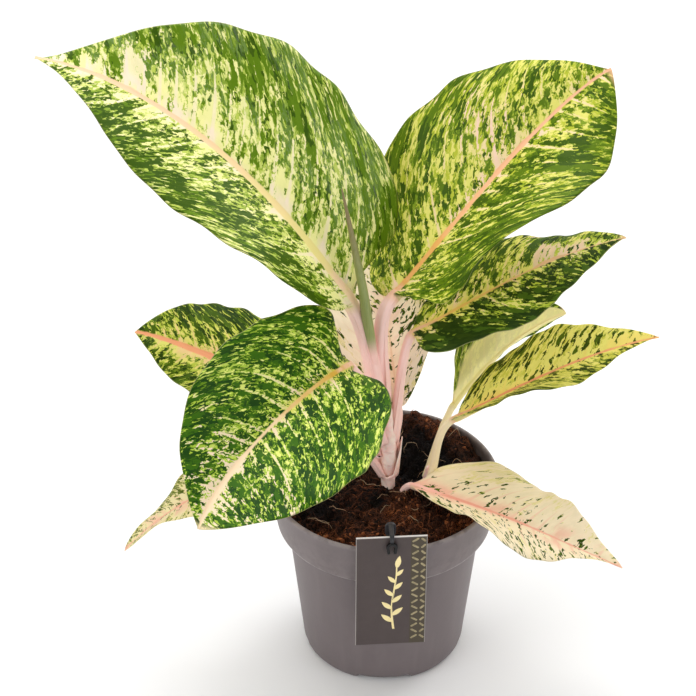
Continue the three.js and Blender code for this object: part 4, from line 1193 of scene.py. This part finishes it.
# %% Leaves: from the sum to the tissue
MOSSY, LIMY, CREAMY = (0.45, 0.475), (0.53, 0.55), (0.68, 0.71)
pale = given["Pale"] + 0.5 + speck * 0.2 + line * given["Lines"] + feather * 0.32 - fleck
for field, weight in (
    (side, given["Tilt"]), (coarse[0], given["Coarse"]), (small[0], given["Fine"]), (patch, 0.6),
    (streak, given["Streaks"] * 2), (ramp(out, 0.9, 0.1), given["Inward"]),
):
    pale = pale + centred(field, weight)
depth = between(0.35, coarse[2], small[2]) + centred(side, given["Shade"]) + centred(patch, 0.8)
green = mixed(ramp(depth, 0.47, 0.55), given["Deep"], given["Leaf"])
tint = mixed(ramp(pale, *MOSSY), green, given["Moss"])
lime = mixed(ramp(small[2], 0.6, 0.7), given["Lime"], mixed(0.4, given["Lime"], given["Cream"]))
tint = mixed(ramp(pale, *LIMY), tint, lime)
rosy = ramp(patch, 0.45, 0.62) * ramp(x, 1.0, 0.3) + blotch * 1.5 + line * 0.6
blush = mixed(maths("MINIMUM", rosy, 1.0), given["Cream"], given["Blush"])
tint = mixed(ramp(pale, *CREAMY), tint, blush)
glow = ramp(x, 0.6, 0.05) * ramp(along, 0.75, 0.1) * ramp(pale, 0.53, 0.6) * 0.7
tint = mixed(glow, tint, given["Glow"])
tint = mixed(ramp(sappy, 0.4, 0.65) * 0.08, tint, given["Moss"])

# the midrib, the tip and the pale edge
rib_edge = given["Rib width"] * (along * -0.75 + 1) + blotch * 0.15 + centred(finger, 0.12)
rib = mixed(ramp(along + centred(patch, 0.6), 0.1, 0.7), given["Rib base"], given["Rib tip"])
rib = mixed(ramp(along + centred(finger, 0.2), 0.14, 0.02) * 0.6, rib, given["Stalk"])
tint = mixed(ramp(x - rib_edge, 0.04, -0.04), tint, rib)
tint = mixed(ramp(along, 0.965, 1.0) * 0.8, tint, given["Rib tip"])
tint = mixed(ramp(margin, 0.05, 0.015) * 0.5, tint, given["Under"])

# the underside: a pale veil over the pattern, with pink veins; and then the stalk
hidden = mixed(0.85 - ramp(out, 0.55, 0.7) * given["Strip"], tint, given["Under"])
hidden = mixed(ramp(between_veins, 0.12, 0.02) * 0.3, hidden, given["Stalk"])
hidden = mixed(ramp(x, 0.2, 0.08), hidden, given["Stalk"])
fibre = noise(scaled(given["Place"], (3.0, 9.0, 60.0)), 2, 0.5)
stalk = mixed(fibre * 0.5, given["Stalk"], colour(255, 240, 234))
stalk = mixed(ramp(along, -0.12, 0.0) * 0.5, stalk, given["Rib base"])
feed(result["Color"], mixed(ramp(along, 0.015, -0.03), mixed(top, hidden, tint), stalk))
feed(result["Roughness"], between(top, 0.6, between(small[2], 0.38, 0.5)))
feed(result["Height"], between(0.35, cross, pores))
# the waxy sheen lies in broad patches on one half, and the pores break it up
broken = ramp(patch, 0.42, 0.56) * ramp(cross, 0.4, 0.6)
feed(result["Shine"], side * ramp(out, 0.15, 0.4) * broken * given["Shine"])
print("pattern group", len(FLECKS.nodes), "nodes")

# %% Leaves: each leaf's own paint
CREAM = paint(GREEN, dict(
    Pale=0.3, Inward=0.1, Coarse=0.16, Fine=0.16, Streaks=0.2, Specks=0.0, Feather=0.9, Fingers=0.5,
    Flecks=0.09, Fleck_tilt=0.12, Lines=0.0, Rib_width=0.13, Cells=(1.9, 1.6, 1.0)),
    Deep=(48, 70, 0), Leaf=(76, 100, 8), Moss=(140, 150, 60), Lime=(236, 222, 158), Cream=(247, 229, 194),
    Blush=(244, 198, 170), Glow=(248, 184, 164), Rib_base=(238, 166, 144), Rib_tip=(240, 178, 152),
    Under=(246, 228, 184))
PAINT = {
    "high_left": paint(GREEN, dict(
        Seed=1.3, Pale=-0.04, Tilt=0.02, Feather=0.45, Skew=0.5, Fingers=1.6, Inward=0.16, Streaks=0.35,
        Shade=0.5, Lines=0.3, Shine=1.0, Blotch_at=0.78, Blotch_length=0.08, Blotch=0.35, Rib_width=0.3,
        Cells=(1.35, 1.15, 1.0)),
        Deep=(54, 84, 0), Leaf=(92, 126, 12), Moss=(138, 164, 52), Lime=(190, 206, 88), Cream=(246, 242, 164),
        Rib_base=(236, 222, 144), Rib_tip=(248, 208, 168), Glow=(242, 232, 160), Blush=(252, 234, 206)),
    "high_right": paint(GREEN, dict(
        Seed=4.1, Pale=-0.05, Tilt=-0.1, Feather=0.2, Skew=-0.4, Fingers=0.9, Inward=0.14, Streaks=0.35,
        Lines=0.28, Blotch=0.22, Blotch_side=-0.8, Cells=(1.3, 1.1, 1.0),
        Rib_width=0.26),
        Deep=(56, 84, 2), Leaf=(88, 116, 10), Lime=(184, 192, 56), Cream=(232, 226, 118),
        Rib_base=(232, 172, 96), Rib_tip=(244, 186, 146), Blush=(250, 214, 190)),
    "mid_right": paint(GREEN, dict(
        Seed=7.7, Pale=-0.12, Tilt=-0.14, Feather=0.15, Skew=-0.3, Fingers=0.5, Inward=0.14, Blotch_at=0.66,
        Blotch=0.55, Blotch_side=-0.8, Shade=-0.25, Rib_width=0.09, Cells=(1.2, 1.0, 1.0)),
        Deep=(34, 58, 2), Leaf=(66, 96, 18), Moss=(118, 142, 40), Lime=(190, 206, 66), Cream=(246, 240, 140),
        Rib_base=(240, 196, 104), Rib_tip=(246, 200, 160), Glow=(240, 214, 96), Blush=(254, 224, 200)),
    "side_back": paint(GREEN, dict(Seed=2.9, Strip=0.85),
        Under=(255, 246, 176), Stalk=(250, 236, 176), Rib_base=(230, 218, 160)),
    "side_front": paint(GREEN, dict(
        Seed=5.2, Pale=0.17, Tilt=-0.18, Feather=0.3, Fingers=0.3, Inward=0.16, Coarse=0.3, Fine=0.3,
        Flecks=0.12, Fleck_tilt=-0.16, Specks=0.0, Rib_width=0.17, Cells=(1.6, 1.0, 1.0)),
        Deep=(44, 62, 0), Leaf=(76, 98, 10), Moss=(144, 156, 50), Lime=(212, 208, 84), Cream=(238, 230, 124),
        Blush=(242, 222, 118), Glow=(250, 208, 112), Rib_base=(238, 150, 108), Rib_tip=(238, 166, 116),
        Stalk=(250, 236, 184)),
    "front": paint(GREEN, dict(
        Seed=9.4, Pale=-0.19, Coarse=0.3, Fine=0.5, Specks=0.85, Feather=0.0, Fingers=0.7,
        Inward=0.06, Lines=0.42, Blotch_at=0.8, Blotch_length=0.24, Blotch=0.75, Cells=(1.6, 1.7, 1.0),
        Rib_width=0.13),
        Deep=(22, 64, 0), Leaf=(52, 98, 0), Moss=(104, 142, 22), Lime=(172, 200, 64),
        Rib_base=(212, 166, 58), Rib_tip=(248, 220, 182), Cream=(230, 238, 124), Blush=(246, 222, 190),
        Glow=(204, 184, 64)),
    "mid_left": paint(GREEN, dict(
        Seed=6.6, Pale=-0.04, Tilt=-0.08, Coarse=0.3, Fine=0.44, Feather=0.3, Skew=-0.2, Fingers=0.6,
        Inward=0.16, Specks=0.6, Lines=0.26, Cells=(1.5, 1.3, 1.0), Rib_width=0.34),
        Deep=(34, 60, 0), Leaf=(66, 94, 6), Moss=(112, 138, 32), Lime=(186, 200, 72), Cream=(228, 224, 118),
        Glow=(246, 196, 112), Blush=(240, 206, 150), Rib_base=(240, 156, 130), Rib_tip=(242, 166, 124)),
    "low_right": paint(CREAM, dict(Seed=3.5)),
    "low_left": paint(CREAM, dict(
        Seed=8.8, Pale=0.13, Flecks=0.08, Streaks=0.6, Fine=0.3, Cells=(3.6, 1.8, 1.0)),
        Deep=(74, 90, 20), Leaf=(104, 118, 44), Moss=(156, 160, 76), Lime=(222, 212, 140),
        Cream=(240, 226, 176)),
    "back": paint(CREAM, dict(Seed=1.9, Flecks=0.14, Cells=(1.7, 1.6, 1.0), Rib_width=0.06),
        Cream=(252, 238, 214), Blush=(246, 216, 196), Rib_base=(240, 206, 172), Rib_tip=(240, 200, 168),
        Glow=(252, 220, 190)),
}
PALE_LEAVES = ("low_right", "low_left", "back")
GLOSS = 0.12  # the specular level where no waxy sheen lies
print("paints:", len(PAINT), "of which pale:", *PALE_LEAVES)

# %% Leaves: the pieces
for number, (name, leaf) in enumerate(LEAVES.items()):
    finish, shader = new_finish(f"{name}_leaf_skin", Specular_IOR_Level=GLOSS)
    marks = {mark: attribute(mark.lower(), "Vector") for mark in MARKS}
    painted = use_group(FLECKS, **marks, **PAINT[name])
    coat(shader, painted["Color"], painted["Roughness"], painted["Height"], 0.00022, 0.7)
    if PAINT[name]["Shine"]:
        feed(shader["Specular IOR Level"], between(painted["Shine"], GLOSS, 1.0))
    points, faces, marks = leaf_surface(leaf, number * 0.37)
    slot = "pale_leaf_flesh" if name in PALE_LEAVES else "leaf_flesh"
    add_piece(f"{name}_leaf", points, faces, finish, slot, [f"leaf_{name}"], marks)

# %% [markdown]
# ## The label card and its peg
#
# A plastic card hangs over the rim on a small black peg. The card is a thin slab with rounded edges, pale
# where its cut core shows. Its print is a gold ornament: a leafy sprig in the middle and, down its right
# side, two columns of short dashes that lean by turns, so that they make a chain of crosses.
# Everything here is worked out flat, in the card's own directions, and one turn stands it against the rim.

# %% The card's place
LEAN, YAW, ASIDE, ABOVE_RIM = np.radians(3), np.radians(4), -1.3, 12
CARD_WIDE, CARD_TALL, CARD_THICK = 36, 75, 0.8
RIM_POINT, BOW = np.array([0, -60.3, 103.4]), 0.35


def on_rim(points):
    """Points [across, back, up] of the label turned by its lean about X, then with its place about Z."""
    lean = np.array(Matrix.Rotation(LEAN, 3, "X"))
    yaw = np.array(Matrix.Rotation(YAW, 3, "Z"))
    return np.asarray(points, float) @ (yaw @ lean).T + yaw @ RIM_POINT


def bowed(points):
    """A card is never quite flat: its middle stands forward by a little, as a cosine of the height."""
    share = (ABOVE_RIM - points[..., 2]) / CARD_TALL
    forward = BOW * (1 - np.cos(TURN * np.clip(share, 0, 1))) / 2
    return points - np.stack([0 * forward, forward, 0 * forward], -1)


print("the card's upper corner:", on_rim((ASIDE - CARD_WIDE / 2, 0, ABOVE_RIM)).round(1))

# %% The card
EDGE, TOP_CUT, SIDE_CUT = 0.3, 0.5, 0.25
shares = np.array([0, 0.004, 0.012, 0.03, *np.linspace(0.08, 0.92, 22), 0.97, 0.988, 0.996, 1])
x = ASIDE + CARD_WIDE * (shares - 0.5)[None, :]
z = ABOVE_RIM + CARD_TALL * (shares - 1)[:, None]
from_sides = np.minimum(shares, 1 - shares)[None, :] * CARD_WIDE
from_ends = np.minimum(shares, 1 - shares)[:, None] * CARD_TALL
inset = np.minimum(from_sides, from_ends)
# the wall thins out at the edges as the root of 1 - d^2
wall = CARD_THICK / 2 * np.sqrt(1 - np.clip(1 - inset / EDGE, 0, 1) ** 2)
wall = np.maximum(wall, 0.001)
full = 0 * inset
skins = [np.stack([x + full, y - CARD_THICK / 2, z + full], -1) for y in (-wall, wall)]
points = np.concatenate(skins).reshape(-1, 3)

count = len(shares)
last = count * count
sheet = quads(count, count, False)
flipped = [[number + last for number in face[::-1]] for face in sheet]
border = [*range(count), *range(2 * count - 1, last, count), *range(last - 2, last - count - 1, -1),
          *range(last - 2 * count, 0, -count)]
edge = [[a, b, b + last, a + last] for a, b in zip(border, border[1:] + border[:1])]
# the pale core shows along the upper cut and, more faintly, all round
core = (shares[:, None] > 0.5) & (from_ends < TOP_CUT)
core = np.tile(np.maximum(core, 0.4 * (inset < SIDE_CUT)).ravel(), 2)

card_finish, shader = new_finish("card_satin", Specular_IOR_Level=0.25)
where = attribute("flat", "Vector")
cloud, fine = mottled(where, 6.0, 1.2)
paper = mixed(cloud, colour(73, 63, 62), colour(83, 73, 71))
paper = mixed(ramp(parts(where)[0], 9.7, 9.9) * 0.8, paper, colour(76, 68, 52))
paper = mixed(attribute("core"), paper, colour(236, 230, 226))
coat(shader, paper, between(fine, 0.36, 0.5), grain(where, 0.5, 0.2), 0.00002, 0.5)
add_piece("hanging_card", on_rim(bowed(points)), sheet + flipped + edge, card_finish, "card_plastic",
          ["label_card"], {"core": core, "flat": points - (ASIDE, 0, 0)})

# %% The print's outlines
FOIL_DEPTHS = (-CARD_THICK - 0.04, -CARD_THICK + 0.04)


def foil(outlines):
    """Thin prisms 0.08 mm thick from closed outlines (x, z), half of it sunk into the card's face."""
    prisms = []
    for line in outlines:
        layers = [np.insert(np.asarray(line, float), 1, depth, axis=1) for depth in FOIL_DEPTHS]
        front, back = list(range(len(line))), list(range(2 * len(line) - 1, len(line) - 1, -1))
        prisms.append((np.concatenate(layers), quads(2, len(line), True) + [front, back]))
    points, faces = joined(prisms)
    return on_rim(bowed(points)), faces


def leaning(flat, lean, x, z):
    """A flat outline turned by its lean, and moved to its place."""
    along = np.array([np.cos(lean), np.sin(lean)])
    return flat[:, :1] * along + flat[:, 1:] * np.array([-along[1], along[0]]) + (x, z)


def dash(x, z, lean, length, thick=1.2):
    """A slanted stroke with round ends: two half circles moved apart along its lean."""
    turn = round_angles(16)
    ahead = np.where(np.cos(turn) > 0, 1, -1) * (length - thick) / 2
    return leaning(np.stack([ahead + thick / 2 * np.cos(turn), thick / 2 * np.sin(turn)], -1), lean, x, z)


def almond(x, z, lean, length, wide):
    """A leaf: half width sin(pi t)^0.8 (1.1 - 0.4 t) along its length, from its stalk at (x, z)."""
    t = np.linspace(0, 1, 14)
    spread = wide / 2 * np.sin(np.pi * t) ** 0.8 * (1.1 - 0.4 * t)
    flat = np.concatenate([np.stack([t * length, spread], -1), np.stack([t * length, -spread], -1)[-2:0:-1]])
    return leaning(flat, lean, x, z)


def sprig_stem(z):
    """Across, the stem is a slow sine of the height."""
    return ASIDE + 1.6 + 1.1 * np.sin((z + 24) / 9)


print("corners of a dash and of a leaf:", len(dash(0, 0, 0, 4)), len(almond(0, 0, 0, 8, 3)))

# %% The gold print
DASH_ROWS, PITCH, STEEP = 17, 4.2, np.radians(36)
dashes = []
for row in range(DASH_ROWS):
    z = ABOVE_RIM - 2.9 - row * PITCH
    lean = STEEP if row % 2 == 0 else -STEEP
    dashes += [dash(ASIDE + 12.1, z, lean, 4.0), dash(ASIDE + 16.1, z, -1.25 * lean, 3.2)]

SPRIG_FOOT, SPRIG_TOP = -52, -9
sprig_z = np.linspace(SPRIG_FOOT, SPRIG_TOP, 40)
stem_half = 0.6 - 0.25 * (sprig_z - SPRIG_FOOT) / (SPRIG_TOP - SPRIG_FOOT)
stem_sides = [np.stack([sprig_stem(sprig_z) + sign * stem_half, sprig_z], -1) for sign in (-1, 1)]
sprig = [np.concatenate([stem_sides[0], stem_sides[1][::-1]])]
sprig.append(almond(sprig_stem(-9.5), -9.5, np.radians(80), 8.5, 3.2))
for number, z in enumerate(np.arange(-47, -11, 4.6)):
    lean = np.radians(90 - (1 if number % 2 else -1) * (46 - number))
    sprig.append(almond(sprig_stem(z), z, lean, 8.2 - 0.35 * number, 3.3 - 0.12 * number))


def add_print(name, outlines, finish_name, metallic, cloud_size, contrast, chips, rough):
    """A print in an ink of its own: two chips and two roughnesses, mixed by the mottling."""
    finish, shader = new_finish(finish_name, Metallic=metallic)
    cloud, fine = mottled(position(), cloud_size, contrast)
    coat(shader, mixed(cloud, *(colour(*chip) for chip in chips)), between(fine, *rough))
    add_piece(name, *foil(outlines), finish, "card_plastic", rounded=False)


BRIGHT, DULL = ((244, 222, 150), (255, 240, 190)), ((118, 106, 78), (190, 176, 138))
add_print("gold_sprig", sprig, "gold_foil", 0.75, 0.002, 1.6, BRIGHT, (0.28, 0.5))
add_print("gold_dashes", dashes, "dull_gold_ink", 0.4, 0.0015, 2.4, DULL, (0.4, 0.6))

# %% [markdown]
# ### The peg
#
# The peg is one small casting: a pointed stake with a round head, a bridge over the card's top edge, and an
# arch in front that nips the card. Each bar is a section with softened corners carried along its line. The
# section is a superellipse: powers of the cosine and sine below one square up a circle. Its black plastic is
# painted mid grey on the stake and the bridge where light falls on them, and near-black on the arch as painted
# shade.

# %% The peg's bars
BAR_SIDES = 24


def bar(line, wide, thick, reference=(1.0, 0.0, 0.0)):
    """A softened rectangular section, wide by thick (each a number or one for each point), on a line."""
    reference = np.array(reference)
    along = unit(np.gradient(line, axis=0))
    across = unit(reference - along * (along @ reference)[:, None])
    turn = round_angles(BAR_SIDES)
    square = lambda wave: (np.sign(wave) * np.abs(wave) ** 0.45)[:, None]
    grown = lambda size: (np.asarray(size, float) + np.zeros(len(line)))[:, None, None]
    offset = across[:, None] * square(np.cos(turn)) * grown(wide) / 2
    offset = offset + np.cross(along, across)[:, None] * square(np.sin(turn)) * grown(thick) / 2
    return (line[:, None] + offset).reshape(-1, 3), pipe(len(line), BAR_SIDES)


def label_line(y, z, x=0.0):
    """A line from its coordinates, numbers or arrays, measured from the card's middle."""
    return np.stack(np.broadcast_arrays(ASIDE + x, y, z), -1).astype(float)


print("faces of a bar with two stations:", len(bar(label_line(0, np.array([0, 1])), 2, 1)[1]))

# %% The peg
STAKE_Y, BAR, LENGTH, HEAD, PLAY = 7.8, 1.5, 32, 2.8, 0.3
head_z = ABOVE_RIM + PLAY + BAR - HEAD
foot_z = head_z - LENGTH
turn = np.linspace(0, np.pi / 2, 12)
point_z, blade_z = np.linspace(foot_z, foot_z + 5, 6), np.linspace(foot_z + 6, head_z - HEAD - 2, 10)
neck_z, crown = np.linspace(head_z - HEAD - 1.5, head_z - 0.3, 6), HEAD * np.sin(turn) * 0.999
stake_z = np.concatenate([point_z, blade_z, neck_z, head_z + crown])
stake_wide = np.interp(stake_z, [foot_z, foot_z + 5, head_z - 7, head_z - 4], [0.3, 3.2, 3.2, 5.6])
stake_wide[-12:] = np.maximum(2 * HEAD * np.cos(turn), 0.3)
taper = np.full(len(stake_z), BAR)
taper[-4:] = (1.4, 1.2, 0.9, 0.3)
stake = bar(label_line(STAKE_Y, stake_z), stake_wide, taper)

over_z, front_y, corner = ABOVE_RIM + PLAY + BAR / 2, -CARD_THICK - PLAY - BAR / 2, 0.8
bend = np.linspace(0, np.pi / 2, 8)
flat_y, bend_y = np.linspace(STAKE_Y, front_y + corner, 8), front_y + corner * (1 - np.sin(bend))
bend_z, drop_z = over_z - corner * (1 - np.cos(bend)), np.linspace(over_z - 1, ABOVE_RIM - 3.5, 6)
bridge = label_line(np.concatenate([flat_y, bend_y, np.full(6, front_y)]),
                    np.concatenate([np.full(8, over_z), bend_z, drop_z]))
bridge = bar(bridge, np.linspace(2.6, 2.0, len(bridge)), BAR)

ARCH_OUTER, ARCH_LEG = 2.9, 7
arch_half, crown_z = ARCH_OUTER - BAR / 2, ABOVE_RIM - 3.0 - ARCH_OUTER
turn = np.linspace(np.pi, 0, 20)
leg_z = np.linspace(crown_z + ARCH_OUTER - ARCH_LEG, crown_z - 0.3, 6)
splay = np.linspace(0.72, 0.97, 6)
arch_x = arch_half * np.concatenate([-splay, np.cos(turn), splay[::-1]])
arch_z = np.concatenate([leg_z, crown_z + arch_half * np.sin(turn), leg_z[::-1]])
arch = bar(label_line(front_y - 0.4, arch_z, arch_x), BAR, BAR, reference=(0.0, 1.0, 0.0))

peg_finish, shader = new_finish("black_plastic", Specular_IOR_Level=0.3)
cloud, fine = mottled(position(), 0.003, 2.0)
# painted light: the stake and the bridge are painted a lit grey, with scuffs in it
lit_and_scuffed_grey = mixed(cloud, colour(52, 52, 56), colour(76, 76, 80))
coat(shader, mixed(attribute("arch"), lit_and_scuffed_grey, colour(4, 4, 5)), between(fine, 0.28, 0.5),
     grain(position(), 0.0005, 0.4), 0.00005, 0.6)
points, faces = joined([stake, bridge, arch])
# the arch mark: 0 on the stake, 0.5 on the bridge, 1 on the arch, which is painted near-black as shade
marks = {"arch": np.repeat((0, 0.5, 1), [len(stake[0]), len(bridge[0]), len(arch[0])])}
add_piece("black_peg", on_rim(points), faces, peg_finish, "peg_plastic", ["label_peg"], marks)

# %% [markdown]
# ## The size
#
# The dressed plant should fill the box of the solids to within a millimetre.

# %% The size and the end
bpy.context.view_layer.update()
